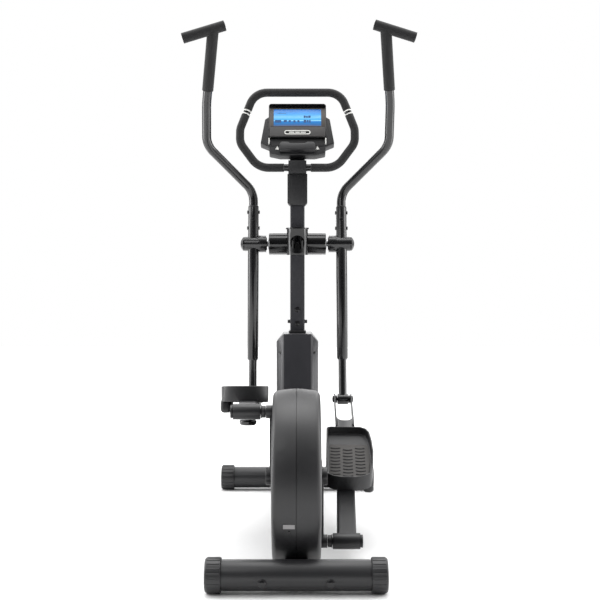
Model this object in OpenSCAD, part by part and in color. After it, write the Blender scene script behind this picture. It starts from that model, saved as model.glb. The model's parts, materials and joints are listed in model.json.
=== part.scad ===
// Rear-drive elliptical trainer with moving arms, in millimetres.
// +X is the rider's right, +Y is forward, +Z is up and z = 0 is the floor.
// y = 0 is midway between the two stabilizer tubes.

/* [Base] */
// Distance between the two stabilizer tubes
base_length = 1247; // [1200:1:1300]
// Diameter of the stabilizer tubes
stabilizer_d = 76; // [70:1:78]
// Width over the rear end caps
rear_width = 451; // [430:1:520]
// Width over the front end caps
front_width = 554; // [520:1:640]
// Diameter of the ribbed end caps
cap_d = 88; // [86:1:94]

/* [Drive] */
// Crank radius, half the stride of the pedals
crank_r = 173; // [160:1:176]
// Height of the crank axle
crank_z = 246; // [240:1:260]
// Distance of the crank axle in front of the rear stabilizer
crank_ahead = 215; // [205:1:225]
// Radius of the flywheel
flywheel_r = 122; // [100:1:126]

/* [Casing] */
// Radius of the round end of the casing
casing_r = 234; // [230:1:236]
// Width of the casing over the crank
casing_w = 126; // [124:1:128]
// Width of the shroud round the foot of the post
shroud_w = 143; // [130:1:150]
// Height of the shroud
shroud_h = 581; // [560:1:590]

/* [Post and arms] */
// Width of the square post
post_w = 50; // [46:1:54]
// Distance of the post behind the front stabilizer
post_behind = 167; // [150:1:180]
// Height of the arm pivot
pivot_z = 892; // [880:1:900]
// Distance of each arm from the middle
arm_x = 154; // [150:1:158]
// Length of the arm below its pivot
arm_drop = 541; // [535:1:545]
// Length of the pedal bar between its two pivots
bar_length = 810; // [805:1:815]
// Turn of the upper handles in their sockets
handle_turn = 1.8; // [0:0.1:3]

/* [Handlebar and console] */
// Width over the fixed handlebar
loop_w = 430; // [400:1:440]
// Diameter of the fixed handlebar tube
loop_d = 25; // [22:1:26]
// Lean of the fixed handlebar, top forward
loop_lean = 12; // [8:1:14]
// Width of the console over its wings
console_w = 257; // [240:1:262]
// Lean of the console face, top forward
console_lean = 25; // [15:1:30]

/* [Hidden] */
$fn = 48;

rear_y = -base_length / 2;
front_y = base_length / 2;
cap_r = cap_d / 2;
stab_z = cap_r;
crank_y = rear_y + crank_ahead;
post_y = front_y - post_behind;
post_back = post_y - post_w / 2;
flywheel_y = crank_y + 345;
flywheel_z = 216;
rail_w = 60;
rail_low = 22;
rail_top = 62;
fit = 0.3;
run = 0.15;
axle_d = 20;
pin_d = 16;
belt_x = 39;
pulley_r = 148;
small_pulley_r = 24;
cover_end = 99;
sleeve_in = 108;
sleeve_out = 185;
sleeve_d = 60;
cross_d = 56;
arm_d = 38;
shin_d = 27;
handle_d = 32;
socket_h = 128;
knuckle_w = 36;
fork_in = 52;
prong_t = 3.5;
prong_lap = 56; // how far the prongs lie along the end of the bar
crotch = 654;
bar_x = 134;
charcoal = "#2b2b2e";
post_grey = "#3a3a40";
silver = "#8a8a85";
zinc = "#b5b8ba";
foam = "#1d1d1f";

arc_steps = 7;
tube_sides = 16;

function unit(v) = v / norm(v);
// Rotation that carries X, Y and Z to the unit vectors u, v and n
function turn_to(u, v, n) =
  [atan2(v[2], n[2]), asin(max(-1, min(1, -u[2]))), atan2(u[1], u[0])];

// Where the arm meets its pedal bar, for a crank pin given as [y, z]
pivot = [post_y, pivot_z];
function knuckle(pin) =
  let (d = norm(pivot - pin), u = (pivot - pin) / d,
       a = (bar_length * bar_length - arm_drop * arm_drop + d * d) / (2 * d),
       h = sqrt(bar_length * bar_length - a * a))
  pin + a * u + h * [u[1], -u[0]];
// The left crank pin is at the top of its turn and the right one at the bottom
function crank_pin(side) = [crank_y, crank_z - side * crank_r];
function arm_lean(side) = let (k = knuckle(crank_pin(side))) atan2(post_y - k[0], pivot_z - k[1]);
function bar_slope(side) =
  let (p = crank_pin(side), k = knuckle(p)) atan2(k[1] - p[1], k[0] - p[0]);

// ---- Shared shapes ----

module rod_x(x0, x1, d) translate([min(x0, x1), 0, 0]) rotate([0, 90, 0])
  cylinder(d = d, h = abs(x1 - x0));

module tube_x(x0, x1, d, bore) difference() {
  rod_x(x0, x1, d);
  rod_x(min(x0, x1) - 1, max(x0, x1) + 1, bore);
}

module rod(a, b, d) {
  w = unit(b - a);
  side = abs(w[2]) > 0.9 ? unit(cross([0, 1, 0], w)) : unit(cross([0, 0, 1], w));
  translate(a) rotate(turn_to(side, cross(w, side), w)) cylinder(d = d, h = norm(b - a));
}

// Points of an arc of radius r that rounds the corner at b, on the way from a to c
function arc_points(a, b, c, r) =
  let (v = unit(b - a), w = unit(c - b), angle = acos(v * w),
       inward = unit(w - (w * v) * v), middle = b - v * r * tan(angle / 2) + inward * r)
  [for (i = [0 : arc_steps]) let (t = angle * i / arc_steps)
    middle + r * (sin(t) * v - cos(t) * inward)];
function route(points, bends) = [
  points[0],
  for (i = [1 : len(points) - 2])
    each arc_points(points[i - 1], points[i], points[i + 1], bends[i - 1]),
  points[len(points) - 1]
];
// Ring of points round the route at index i; the route never runs along Y
function ring(path, i, r) =
  let (a = path[max(i - 1, 0)], b = path[min(i + 1, len(path) - 1)], t = unit(b - a),
       u = unit(cross([0, 1, 0], t)), v = cross(t, u))
  [for (k = [0 : tube_sides - 1]) let (q = 360 * (k + 0.5) / tube_sides)
    path[i] + r * (cos(q) * u + sin(q) * v)];

// A bent tube along a route, open at both ends
module bent_tube(points, bends, d, bore) {
  path = route(points, bends);
  n = len(path);
  m = tube_sides;
  outer = [for (i = [0 : n - 1]) each ring(path, i, d / 2)];
  inner = [for (i = [0 : n - 1]) each ring(path, i, bore / 2)];
  polyhedron(concat(outer, inner), [
    for (i = [0 : n - 2], k = [0 : m - 1]) let (j = (k + 1) % m) each [
      [i * m + k, (i + 1) * m + k, (i + 1) * m + j, i * m + j],
      [(n + i) * m + k, (n + i) * m + j, (n + i + 1) * m + j, (n + i + 1) * m + k]
    ],
    for (k = [0 : m - 1]) let (j = (k + 1) % m) each [
      [k, j, n * m + j, n * m + k],
      [(n - 1) * m + k, (2 * n - 1) * m + k, (2 * n - 1) * m + j, (n - 1) * m + j]
    ]
  ]);
}

module rounded_bar(w, h, length, r) rotate([-90, 0, 0])
  linear_extrude(length) union() {
    square([w - 2 * r, h], center = true);
    square([w, h - 2 * r], center = true);
    for (x = [-1, 1], y = [-1, 1]) translate([x * (w / 2 - r), y * (h / 2 - r)]) circle(r);
  }

// Outline of a belt that stands off the two pulleys by s, in the plane of y and z
module belt_outline(s) hull() {
  translate([crank_y, crank_z]) circle(pulley_r + s, $fn = 72);
  translate([flywheel_y, flywheel_z]) circle(small_pulley_r + s, $fn = 36);
}

// Turns a drawing in the plane of y and z into a plate from x0 to x1
module plate_x(x0, x1) translate([x0, 0, 0]) rotate([90, 0, 90]) linear_extrude(x1 - x0) children();

module sides() for (s = [-1, 1]) scale_side(s) children();
module scale_side(s) if (s > 0) children(); else mirror([1, 0, 0]) children();

// ---- Base ----

module stabilizer_tube(y, width) color(charcoal) translate([0, y, stab_z]) difference() {
  tube_x(-width / 2 + 6.5, width / 2 - 6.5, stabilizer_d, stabilizer_d - 5);
  for (x = [-84, 84]) translate([x, 0, -10]) rotate([90, 0, 0]) cylinder(d = 9, h = 100, center = true);
}
module rear_stabilizer() stabilizer_tube(rear_y, rear_width);
module front_stabilizer() stabilizer_tube(front_y, front_width - 40);

// Saddle plate that hugs the inner side of a stabilizer tube
module saddle(y, ahead) translate([0, y, stab_z]) difference() {
  translate([-92, ahead > 0 ? 20 : -49, -24]) cube([184, 29, 48]);
  rod_x(-93, 93, stabilizer_d + 2 * fit);
  for (x = [-84, 84]) translate([x, 0, -10]) rotate([90, 0, 0]) cylinder(d = 9, h = 120, center = true);
}
module main_rail() color(charcoal) {
  saddle(rear_y, 1);
  saddle(front_y, -1);
  difference() {
    translate([-rail_w / 2, rear_y + 45, rail_low])
      cube([rail_w, base_length - 90, rail_top - rail_low]);
    translate([-rail_w / 2 + 3, rear_y + 50, rail_low + 3])
      cube([rail_w - 6, base_length - 100, rail_top - rail_low - 6]);
  }
}

module carriage_bolt(y, away) translate([0, y, stab_z - 10]) rotate([away * 90, 0, 0]) {
  intersection() {
    translate([0, 0, stabilizer_d / 2 - 14]) sphere(d = 38);
    translate([0, 0, stabilizer_d / 2 + 0.05]) cylinder(d = 22, h = 20);
  }
  translate([0, 0, -62]) cylinder(d = 8, h = 62 + stabilizer_d / 2);
  translate([0, 0, -61.5]) cylinder(d = 15, h = 12, $fn = 6);
}
module frame_bolts() color(zinc) {
  for (x = [-84, 84]) {
    translate([x, 0, 0]) carriage_bolt(rear_y, 1);
    translate([x, 0, 0]) carriage_bolt(front_y, -1);
  }
  for (z = [615, 663]) translate([0, post_back, z]) rotate([90, 0, 0]) {
    translate([0, 0, -14]) cylinder(d = 8, h = 14);
    cylinder(d = 18, h = 2);
    translate([0, 0, 2]) cylinder(d = 14, h = 5);
  }
  for (s = [-1, 1]) translate([s * post_w / 2, post_y, 621]) rotate([0, s * 90, 0]) {
    translate([0, 0, -14]) cylinder(d = 8, h = 14);
    cylinder(d = 14, h = 2);
    translate([0, 0, 2]) cylinder(d = 12, h = 7);
  }
}

// Ribs round an end cap, for the hand to turn it by
module cap_ribs(length) for (a = [0 : 18 : 359]) rotate([a, 0, 0])
  translate([0, 0, 2.5 - cap_r]) rod_x(1.2, length - 4, 6);
module cap_body(length) difference() {
  union() {
    rod_x(0, length - 3, cap_d - 3);
    rod_x(length - 3, length, cap_d - 8);
    cap_ribs(length);
  }
  rod_x(-1, length - 6, stabilizer_d + 2 * fit);
  translate([-1, -60, -cap_r - 20]) cube([length + 2, 120, 20]);
}
module rear_cap(s) color(foam)
  scale_side(s) translate([rear_width / 2 - 40, rear_y, stab_z]) cap_body(40);
module rear_cap_left() rear_cap(-1);
module rear_cap_right() rear_cap(1);

wheel_x = front_width / 2 - 15;
wheel_y = front_y + 26;
wheel_z = 28;
module front_caps() color(foam) sides() difference() {
  translate([front_width / 2 - 46, front_y, stab_z]) difference() {
    union() {
      rod_x(0, 43, cap_d - 3);
      rod_x(43, 46, cap_d - 8);
      cap_ribs(46);
      translate([1.5, -9, -cap_r]) cube([40, 18, 5]);
    }
    rod_x(-1, 20, stabilizer_d + 2 * fit);
    translate([-1, -60, -cap_r - 20]) cube([50, 120, 20]);
  }
  translate([wheel_x - 10, wheel_y - 26, -1]) cube([20, 80, wheel_z + 26]);
  translate([0, wheel_y, wheel_z]) rod_x(wheel_x - 14, wheel_x + 14, 8);
}
module wheel_axles() color(zinc) sides() translate([0, wheel_y, wheel_z])
  rod_x(wheel_x - 14, wheel_x + 14, 8);
module wheel(s) color(foam) scale_side(s) translate([0, wheel_y, wheel_z]) difference() {
  union() {
    rod_x(wheel_x - 8, wheel_x + 8, 42);
    rod_x(wheel_x - 5, wheel_x + 5, 46);
  }
  rod_x(wheel_x - 9, wheel_x + 9, 8 + run);
}
module wheel_left() wheel(-1);
module wheel_right() wheel(1);

// ---- Frame inside the casing ----

crank_shell_d = 52;
bearing_d = 42;
module drive_uprights() color(charcoal) {
  difference() {
    union() {
      translate([-14, crank_y - 28, rail_top]) cube([54, 56, crank_z - rail_top]);
      translate([0, crank_y, crank_z]) rod_x(-24, 50, crank_shell_d);
    }
    translate([0, crank_y, crank_z]) rod_x(-25, 51, bearing_d);
    translate([-10, crank_y - 24, rail_top + 4]) cube([46, 48, crank_z - rail_top - 36]);
  }
  for (s = [-1, 1]) difference() {
    plate_x(s > 0 ? 24 : -28, s > 0 ? 28 : -24) union() {
      translate([flywheel_y - 30, rail_top]) square([60, flywheel_z - rail_top]);
      translate([flywheel_y, flywheel_z]) circle(30);
    }
    translate([0, flywheel_y, flywheel_z]) rod_x(-60, 60, 17 + run);
  }
}
module crank_bearings() color(zinc) for (x = [-24, 38]) translate([0, crank_y, crank_z])
  tube_x(x, x + 12, bearing_d, axle_d + run);
module crank_axle() color(zinc) translate([0, crank_y, crank_z]) {
  rod_x(-82, 82, axle_d);
  rod_x(-30, -24.5, 28);
}
module crank_arm(s) color(foam) scale_side(s) translate([0, crank_y, crank_z])
  rotate([s > 0 ? 180 : 0, 0, 0]) difference() {
    union() {
      rod_x(70, 82, 46);
      translate([0, 0, crank_r]) rod_x(66, 82, 36);
      plate_x(72, 82) polygon([[-20, 0], [20, 0], [16, crank_r], [-16, crank_r]]);
    }
    rod_x(60, 90, axle_d);
  }
module crank_arm_left() crank_arm(-1);
module crank_arm_right() crank_arm(1);
module drive_pulley() color(charcoal) translate([0, crank_y, crank_z]) difference() {
  union() {
    rod_x(-belt_x - 9, -belt_x + 9, pulley_r * 2);
    for (x = [-belt_x - 9, -belt_x + 7]) rod_x(x, x + 2, pulley_r * 2 + 8);
  }
  for (a = [30 : 60 : 359]) rotate([a, 0, 0]) translate([0, 0, 86]) rod_x(-60, 0, 62);
  rod_x(-60, 0, axle_d);
}
module flywheel() color(zinc) translate([0, flywheel_y, flywheel_z]) {
  difference() {
    rod_x(-15, 15, 2 * flywheel_r);
    for (s = [-1, 1]) rod_x(s > 0 ? 6 : -16, s > 0 ? 16 : -6, 2 * flywheel_r - 50);
    rod_x(-16, 16, 17);
  }
  rod_x(-52, 36, 17);
  rod_x(-belt_x - 8, -belt_x + 8, 2 * small_pulley_r);
}
module drive_belt() color(foam) plate_x(-belt_x - 6, -belt_x + 6) difference() {
  belt_outline(4.5);
  belt_outline(0.5);
}
module brake_magnets() color(charcoal) difference() {
  translate([0, flywheel_y, flywheel_z]) difference() {
    rod_x(-18, 18, 2 * flywheel_r + 26);
    rod_x(-20, 20, 2 * flywheel_r + 6);
    rotate([45, 0, 0]) translate([-50, -200, 0]) cube([100, 400, 400]);
    rotate([-45, 0, 0]) translate([-50, -200, -400]) cube([100, 400, 400]);
  }
  translate([0, flywheel_y, flywheel_z]) rotate([40, 0, 0]) translate([0, flywheel_r + 8, 0]) rod_x(-30, 30, 4);
}
module tension_motor() color(charcoal) translate([-24, shroud_back + 6, 300])
  cube([48, post_y - stub_w / 2 - shroud_back - 6, 60]);

// ---- Casing ----

module casing_side(shrink) hull() {
  translate([crank_y, crank_z]) circle(casing_r - shrink, $fn = 120);
  translate([flywheel_y, flywheel_z]) circle(150 - shrink, $fn = 48);
  translate([post_y - 120 + shrink, 20 + shrink]) square([39 - 2 * shrink, 270 - 2 * shrink]);
}
module casing_solid(wall) hull() {
  plate_x(0, casing_w / 2 - 18 - wall) casing_side(wall);
  plate_x(0, casing_w / 2 - 7 - wall) casing_side(wall + 3);
  plate_x(0, casing_w / 2 - wall) casing_side(wall + 14);
}
// One half of the casing, its flat seam at x = 0
module casing_half(s) color(charcoal) difference() {
  scale_side(s) difference() {
    casing_solid(0);
    casing_solid(3);
    translate([-1, rear_y, 0]) cube([rail_w / 2 + 3, base_length, rail_top + 2]);
    translate([0, crank_y, crank_z]) rod_x(40, 80, 40);
  }
  if (s < 0) translate([-18.5, crank_y - 260, 149]) rotate([-90, 0, 0]) cylinder(d = 5, h = 80);
}
module casing_left() casing_half(-1);
module casing_right() casing_half(1);
module hub_covers() color(foam) sides() translate([0, crank_y, crank_z]) difference() {
  union() {
    rod_x(casing_w / 2, casing_w / 2 + 3, 104);
    rod_x(casing_w / 2 + 3, casing_w / 2 + 6, 96);
  }
  rod_x(60, 80, 26);
}

shroud_back = post_y - 80;
shroud_front = post_y + 70;
panel_half = 46;
module shroud_plan(shrink) polygon([
  [0, shroud_back + shrink], [panel_half - shrink / 2, shroud_back + shrink],
  [shroud_w / 2 - shrink, shroud_back + 30], [shroud_w / 2 - shrink, shroud_front - 30],
  [shroud_w / 2 - 24 - shrink, shroud_front - shrink], [0, shroud_front - shrink]
]);
module shroud_solid(shrink) difference() {
  translate([0, 0, 20]) linear_extrude(shroud_h - 20 - shrink) shroud_plan(shrink);
  translate([48 - shrink, shroud_back - 1, shroud_h]) rotate([0, 50, 0]) cube([60, 200, 60]);
}
// Sloping rear corner of the shroud, z outward
module at_shroud_screw() translate([58.75, shroud_back + 15, 516]) rotate([90, 0, 50]) children();
module shroud_half(s) color(silver) scale_side(s) difference() {
  shroud_solid(0);
  shroud_solid(3);
  translate([-1, shroud_back - 1, 0]) cube([panel_half + 1.3, 4.7, 700]);
  translate([-1, shroud_back - 5, 0]) cube([rail_w / 2 + 2, 200, rail_top + 1]);
  translate([-1, post_y - post_w / 2 - 0.5, 500]) cube([post_w / 2 + 1.5, post_w + 1, 100]);
  at_shroud_screw() cylinder(d = 5, h = 30, center = true);
}
module shroud_left() shroud_half(-1);
module shroud_right() shroud_half(1);
module shroud_panel() color(post_grey)
  translate([-panel_half, shroud_back, 66]) cube([2 * panel_half, 3.5, shroud_h - 66]);
module casing_screws() color(zinc) {
  translate([-18.5, crank_y - casing_r + 20, 149]) rotate([-90, 0, 0]) cylinder(d = 5, h = 16);
  sides() at_shroud_screw() {
    translate([0, 0, -10]) cylinder(d = 5, h = 11);
    translate([0, 0, 0.1]) cylinder(d = 10, h = 2);
  }
}

// ---- Post ----

stub_w = post_w - 6;
module post_stub() color(charcoal) {
  difference() {
    translate([-stub_w / 2, post_y - stub_w / 2, rail_top]) cube([stub_w, stub_w, 700 - rail_top]);
    translate([-stub_w / 2 + 4, post_y - stub_w / 2 + 4, rail_top - 1])
      cube([stub_w - 8, stub_w - 8, 700]);
    for (z = [615, 663]) translate([0, post_y, z]) rotate([90, 0, 0]) cylinder(d = 8, h = 40);
    translate([0, post_y, 621]) rod_x(-40, 40, 8);
  }
}
module post() color(post_grey) difference() {
  union() {
    translate([-post_w / 2, post_back, 583]) cube([post_w, post_w, 1150 - 583]);
    translate([0, post_y, pivot_z]) rod_x(-cover_end + 1, cover_end - 1, cross_d);
  }
  translate([-post_w / 2 + 3, post_back + 3, 582]) cube([post_w - 6, post_w - 6, pivot_z - 30 - 582]);
  translate([-post_w / 2 + 3, post_back + 3, pivot_z + 30]) cube([post_w - 6, post_w - 6, 1151 - pivot_z - 30]);
  translate([0, post_y, pivot_z]) rod_x(-120, 120, axle_d);
  for (z = [615, 663]) translate([0, post_y, z]) rotate([90, 0, 0]) cylinder(d = 8, h = 40);
  translate([0, post_y, 621]) rod_x(-40, 40, 8);
}
module pivot_axle() color(zinc) translate([0, post_y, pivot_z]) {
  rod_x(-sleeve_out + 6, sleeve_out - 6, axle_d);
  for (s = [-1, 1]) scale_side(s) {
    tube_x(cover_end + 1, cover_end + 2.5, 40, axle_d + fit);
    tube_x(sleeve_out - 2.5, sleeve_out - 0.5, 28, 10);
  }
}
module pivot_covers() color(foam) sides() translate([0, post_y, pivot_z]) difference() {
  tube_x(post_w / 2, cover_end, 77.6, cross_d);
  for (x = [cover_end - 12, cover_end - 7]) tube_x(x, x + 1.2, 90, 76.2);
}

// Bottle cage, open at the top, with a window facing the rider
cage_y = post_back - 40;
module bottle_cage() color(foam) {
  difference() {
    translate([0, cage_y, 852]) cylinder(d = 73, h = 93);
    translate([0, cage_y, 856]) cylinder(d = 67, h = 100);
    translate([0, cage_y, 893]) rotate([90, 0, 0]) cylinder(d = 50, h = 60);
    for (x = [-52, 32]) translate([x, cage_y - 12, 868]) cube([20, 30, 50]);
  }
  translate([0, cage_y, 940]) difference() {
    cylinder(d = 80, h = 5);
    translate([0, 0, -1]) cylinder(d = 67, h = 8);
    translate([-50, 36, -1]) cube([100, 20, 10]);
  }
  difference() {
    translate([-15, cage_y + 34.5, 858]) cube([30, post_back - cage_y - 34.5, 80]);
    translate([0, post_y, pivot_z]) rod_x(-60, 60, cross_d + 2 * fit);
  }
}

// ---- Handlebar ----

bar_y = post_back - loop_d / 2 - 2;
bar_z = 1154;
loop_half = loop_w / 2 - 15;
// Point of the loop from its distance from the middle and its height
function loop_point(x, z) = [x, bar_y + (z - bar_z) * tan(loop_lean), z];
top_z = 1424;
top_half = 150;
top_r = 62;
shoulder_z = 1292;
waist_z = 1242;
// Point on the upper diagonal at height z, on side s
function diagonal_point(s, z) =
  loop_point(s * (loop_half + (top_half - loop_half) * (z - shoulder_z) / (top_z - shoulder_z)), z);
function loop_side(s, start, end) = [
  start, loop_point(s * 135, bar_z), loop_point(s * loop_half, waist_z),
  loop_point(s * loop_half, shoulder_z), end
];
foam_d = 29;
seam_x = 48;
stripe_z = 1343;
module handlebar_loop() color(foam) {
  for (s = [-1, 1]) bent_tube(
    concat(loop_side(s, loop_point(s * 0.2, bar_z), loop_point(s * top_half, top_z)),
           [loop_point(s * 0.2, top_z)]), [70, 60, 60, top_r], loop_d, loop_d - 4);
}
module loop_foam() color(foam) {
  for (s = [-1, 1]) bent_tube(
    loop_side(s, loop_point(s * seam_x, bar_z), diagonal_point(s, stripe_z)),
    [70, 60, 60], foam_d, loop_d + 0.4);
  bent_tube([diagonal_point(-1, stripe_z + 14), loop_point(-top_half, top_z),
             loop_point(top_half, top_z), diagonal_point(1, stripe_z + 14)],
            [top_r, top_r], foam_d, loop_d + 0.4);
}
module handlebar_clamp() color(foam) difference() {
  translate([-31, bar_y - 19, 1134]) cube([62, post_w + 43, clamp_top - 1134]);
  translate([0, bar_y, bar_z]) rod_x(-60, 60, loop_d);
  translate([-post_w / 2, post_back, 1100]) cube([post_w, post_w, 50]);
}
module post_sleeve() color(charcoal) difference() {
  translate([0, post_y + 34, 0]) rotate([90, 0, 0]) linear_extrude(68) polygon([
    [-27, 1025], [27, 1025], [34.5, 1033], [34.5, 1134], [-34.5, 1134], [-34.5, 1033]
  ]);
  translate([-post_w / 2, post_back, 1000]) cube([post_w, post_w, 200]);
}

// ---- Console ----

console_y = post_y - 42;
console_z = 1197;
// Places a drawing on the console's face, y up the face and z towards the rider
module on_face(depth) translate([0, console_y, console_z]) rotate([90 - console_lean, 0, 0])
  translate([0, 0, depth]) children();
console_t = 34;
head_half = 101;
head_top = 206;
screen_low = 111;
screen_w = 166;
screen_h = 69;
console_half = [
  [60, 2], [97, 11], [98, 36], [console_w / 2, 50], [114, 149], [head_half, 158],
  [head_half, head_top - 9], [head_half - 9, head_top]
];
module console_outline() polygon(concat(
  console_half, [for (i = [len(console_half) - 1 : -1 : 0]) [-console_half[i][0], console_half[i][1]]]
));
module console_shell() color(charcoal) difference() {
  on_face(-console_t) linear_extrude(console_t) console_outline();
  on_face(-6) translate([-screen_w / 2, screen_low, 0]) cube([screen_w, screen_h, 10]);
}
module console_bezel() color(foam) difference() {
  on_face(0) translate([-head_half, 66, 0]) cube([2 * head_half, head_top - 66, 12]);
  on_face(-1) translate([-screen_w / 2, screen_low, 0]) cube([screen_w, screen_h, 20]);
}
module console_screen() color("#2f93d8") on_face(-6) translate([-screen_w / 2, screen_low, 0])
  cube([screen_w, screen_h, 13]);
module tablet_ledge() color(foam) on_face(0) difference() {
  translate([-62, 12, 0]) cube([124, 32, 26]);
  translate([-70, 20, 6]) cube([140, 40, 12]);
}
// Point of the console's side view: w up the face from its foot, and depth towards the rider
function face_point(w, depth) = [
  console_y + w * sin(console_lean) - depth * cos(console_lean),
  console_z + w * cos(console_lean) + depth * sin(console_lean)
];
clamp_top = 1178;
module console_neck() color(foam) plate_x(-26, 26) polygon([
  face_point(100, -console_t), face_point(100, -console_t - 26), face_point(10, -console_t - 26),
  [post_y + 22, clamp_top], [post_y - 20, clamp_top], face_point(0, -console_t)
]);

// ---- Moving arms, drawn about the pivot with the arm hanging straight down ----

module at_arm(s) translate([0, post_y, pivot_z]) rotate([-arm_lean(s), 0, 0]) scale_side(s) children();

module arm(s) color(charcoal) at_arm(s) difference() {
  union() {
    rod_x(sleeve_in, arm_x - arm_d / 2 + 2, sleeve_d);
    rod_x(arm_x - arm_d / 2 + 2, sleeve_out, 51);
    translate([arm_x, 0, 0]) cylinder(d = arm_d, h = socket_h);
    translate([arm_x, 0, -400]) cylinder(d = arm_d, h = 400);
    translate([arm_x, 0, -406]) cylinder(d1 = 31, d2 = arm_d, h = 6);
    translate([arm_x, 0, -arm_drop]) cylinder(d = shin_d, h = 160);
    translate([0, 0, -arm_drop]) rod_x(arm_x - knuckle_w / 2, arm_x + knuckle_w / 2, 36);
  }
  rod_x(sleeve_in - 1, sleeve_out + 1, 30);
  translate([arm_x, 0, 26]) cylinder(d = handle_d, h = socket_h);
  translate([arm_x, 0, -398]) cylinder(d = arm_d - 5, h = 370);
  translate([0, 0, -arm_drop]) rod_x(100, 200, 12 + run);
  for (z = [56, 112]) translate([0, 0, z]) rod_x(arm_x - 40, arm_x + 40, 7);
  translate([arm_x, 0, 84]) rotate([90, 0, 0]) cylinder(d = 7, h = 40);
}
module arm_left() arm(-1);
module arm_right() arm(1);

module arm_bushes(s) color(foam) at_arm(s) {
  tube_x(sleeve_in - 3, sleeve_in, 46, axle_d + run);
  tube_x(sleeve_in, sleeve_in + 22, 30, axle_d + run);
  tube_x(sleeve_out - 28, sleeve_out - 6, 30, axle_d + run);
  difference() {
    union() {
      rod_x(sleeve_out, sleeve_out + 9, 49);
      rod_x(sleeve_out + 9, sleeve_out + 14, 40);
    }
    rod_x(sleeve_out - 1, sleeve_out + 2, 34);
  }
}
module arm_bushes_left() arm_bushes(-1);
module arm_bushes_right() arm_bushes(1);

module socket_bolt() {
  cylinder(d = 7, h = 4);
  translate([0, 0, 3]) cylinder(d = 13, h = 3);
}
module arm_bolts(s) color(zinc) at_arm(s) {
  for (z = [56, 112], t = [-1, 1]) translate([arm_x + t * (handle_d / 2 + 0.1), 0, z])
    rotate([0, t * 90, 0]) socket_bolt();
  translate([arm_x, -handle_d / 2 - 0.1, 84]) rotate([90, 0, 0]) socket_bolt();
}
module arm_bolts_left() arm_bolts(-1);
module arm_bolts_right() arm_bolts(1);

// The upper handle leans back from the socket in a plane, swings out, then rises to the T bar
handle_lean = 34.5;
bend_z = 176;
function handle_point(x, t) = [x, -t * sin(handle_lean), bend_z + t * cos(handle_lean)];
handle_points = [
  [arm_x, 0, 28], [arm_x, 0, bend_z + 8], handle_point(314, 183), handle_point(311, 330),
  handle_point(285, 572)
];
handle_bends = [70, 85, 500];
grip_start = handle_point(306, 378);
tee = handle_point(283.6, 585);
tee_axis = [cos(18), 0, -sin(18)];
// Upper parts turned a little in the sockets; the turn is the same way on both sides
module at_handle(s) at_arm(s) translate([arm_x, 0, 0]) rotate([0, 0, s * handle_turn])
  translate([-arm_x, 0, 0]) children();
tee_d = 25;
stem = unit(tee - grip_start);
module handle(s) color(foam) at_handle(s) {
  bent_tube(handle_points, handle_bends, handle_d - 0.2, handle_d - 4);
  rod(tee - 36 * tee_axis, tee + 98 * tee_axis, tee_d);
}
module handle_left() handle(-1);
module handle_right() handle(1);
module handle_grip(s) color(foam) at_handle(s) difference() {
  union() {
    rod(grip_start, tee, 38);
    rod(tee - 42 * tee_axis, tee + 106 * tee_axis, 35);
  }
  rod(grip_start - 5 * stem, tee, handle_d + 0.6);
  rod(tee - 36 * tee_axis, tee + 98 * tee_axis, tee_d);
}
module handle_grip_left() handle_grip(-1);
module handle_grip_right() handle_grip(1);

// ---- Pedal bars, drawn from the crank pin with the bar along +Y ----

module at_bar(s) translate([0, crank_y, crank_pin(s)[1]]) rotate([bar_slope(s), 0, 0])
  scale_side(s) children();

skew = atan((arm_x - bar_x) / crotch);
module bar(s) color(foam) at_bar(s) difference() {
  union() {
    rod_x(97, 170, 42);
    translate([bar_x, 4, 0]) rotate([0, 0, -skew]) difference() {
      rounded_bar(fork_in, 40, crotch - 30, 8);
      translate([0, 24, 0]) rounded_bar(fork_in - 6, 34, crotch - 70, 5);
    }
    translate([arm_x - fork_in / 2 - 1, crotch - 50, -19]) cube([fork_in + 2, 50, 38]);
    for (x = [arm_x - fork_in / 2 - prong_t, arm_x + fork_in / 2]) {
      translate([x, crotch - prong_lap, -18]) cube([prong_t, bar_length - crotch + prong_lap, 36]);
      translate([0, bar_length, 0]) rod_x(x, x + prong_t, 36);
    }
  }
  rod_x(90, 180, 26);
  translate([0, bar_length, 0]) rod_x(100, 200, 12);
  translate([arm_x, crotch, 0]) cylinder(d = fork_in, h = 60, center = true);
}
module bar_left() bar(-1);
module bar_right() bar(1);

module rear_pivot(s) color(zinc) at_bar(s) {
  rod_x(83, 93, 32);
  rod_x(93, 174, pin_d);
  tube_x(93.5, 95.5, 36, pin_d + fit);
  tube_x(98, 120, 25.8, pin_d + fit);
  tube_x(148, 169, 25.8, pin_d + fit);
  rod_x(171, 177, 34);
}
module rear_pivot_left() rear_pivot(-1);
module rear_pivot_right() rear_pivot(1);

module knuckle_pivot(s) color(zinc) at_bar(s) translate([0, bar_length, 0]) {
  reach = fork_in / 2 + prong_t;
  rod_x(arm_x - reach - 6, arm_x + reach + 6, 12);
  for (t = [-1, 1]) translate([arm_x, 0, 0]) scale_side(t) {
    tube_x(reach + 0.2, reach + 5, 22, 12 + fit);
    tube_x(knuckle_w / 2 + 1, fork_in / 2 - 0.5, 26, 12 + fit);
  }
}
module knuckle_pivot_left() knuckle_pivot(-1);
module knuckle_pivot_right() knuckle_pivot(1);

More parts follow.
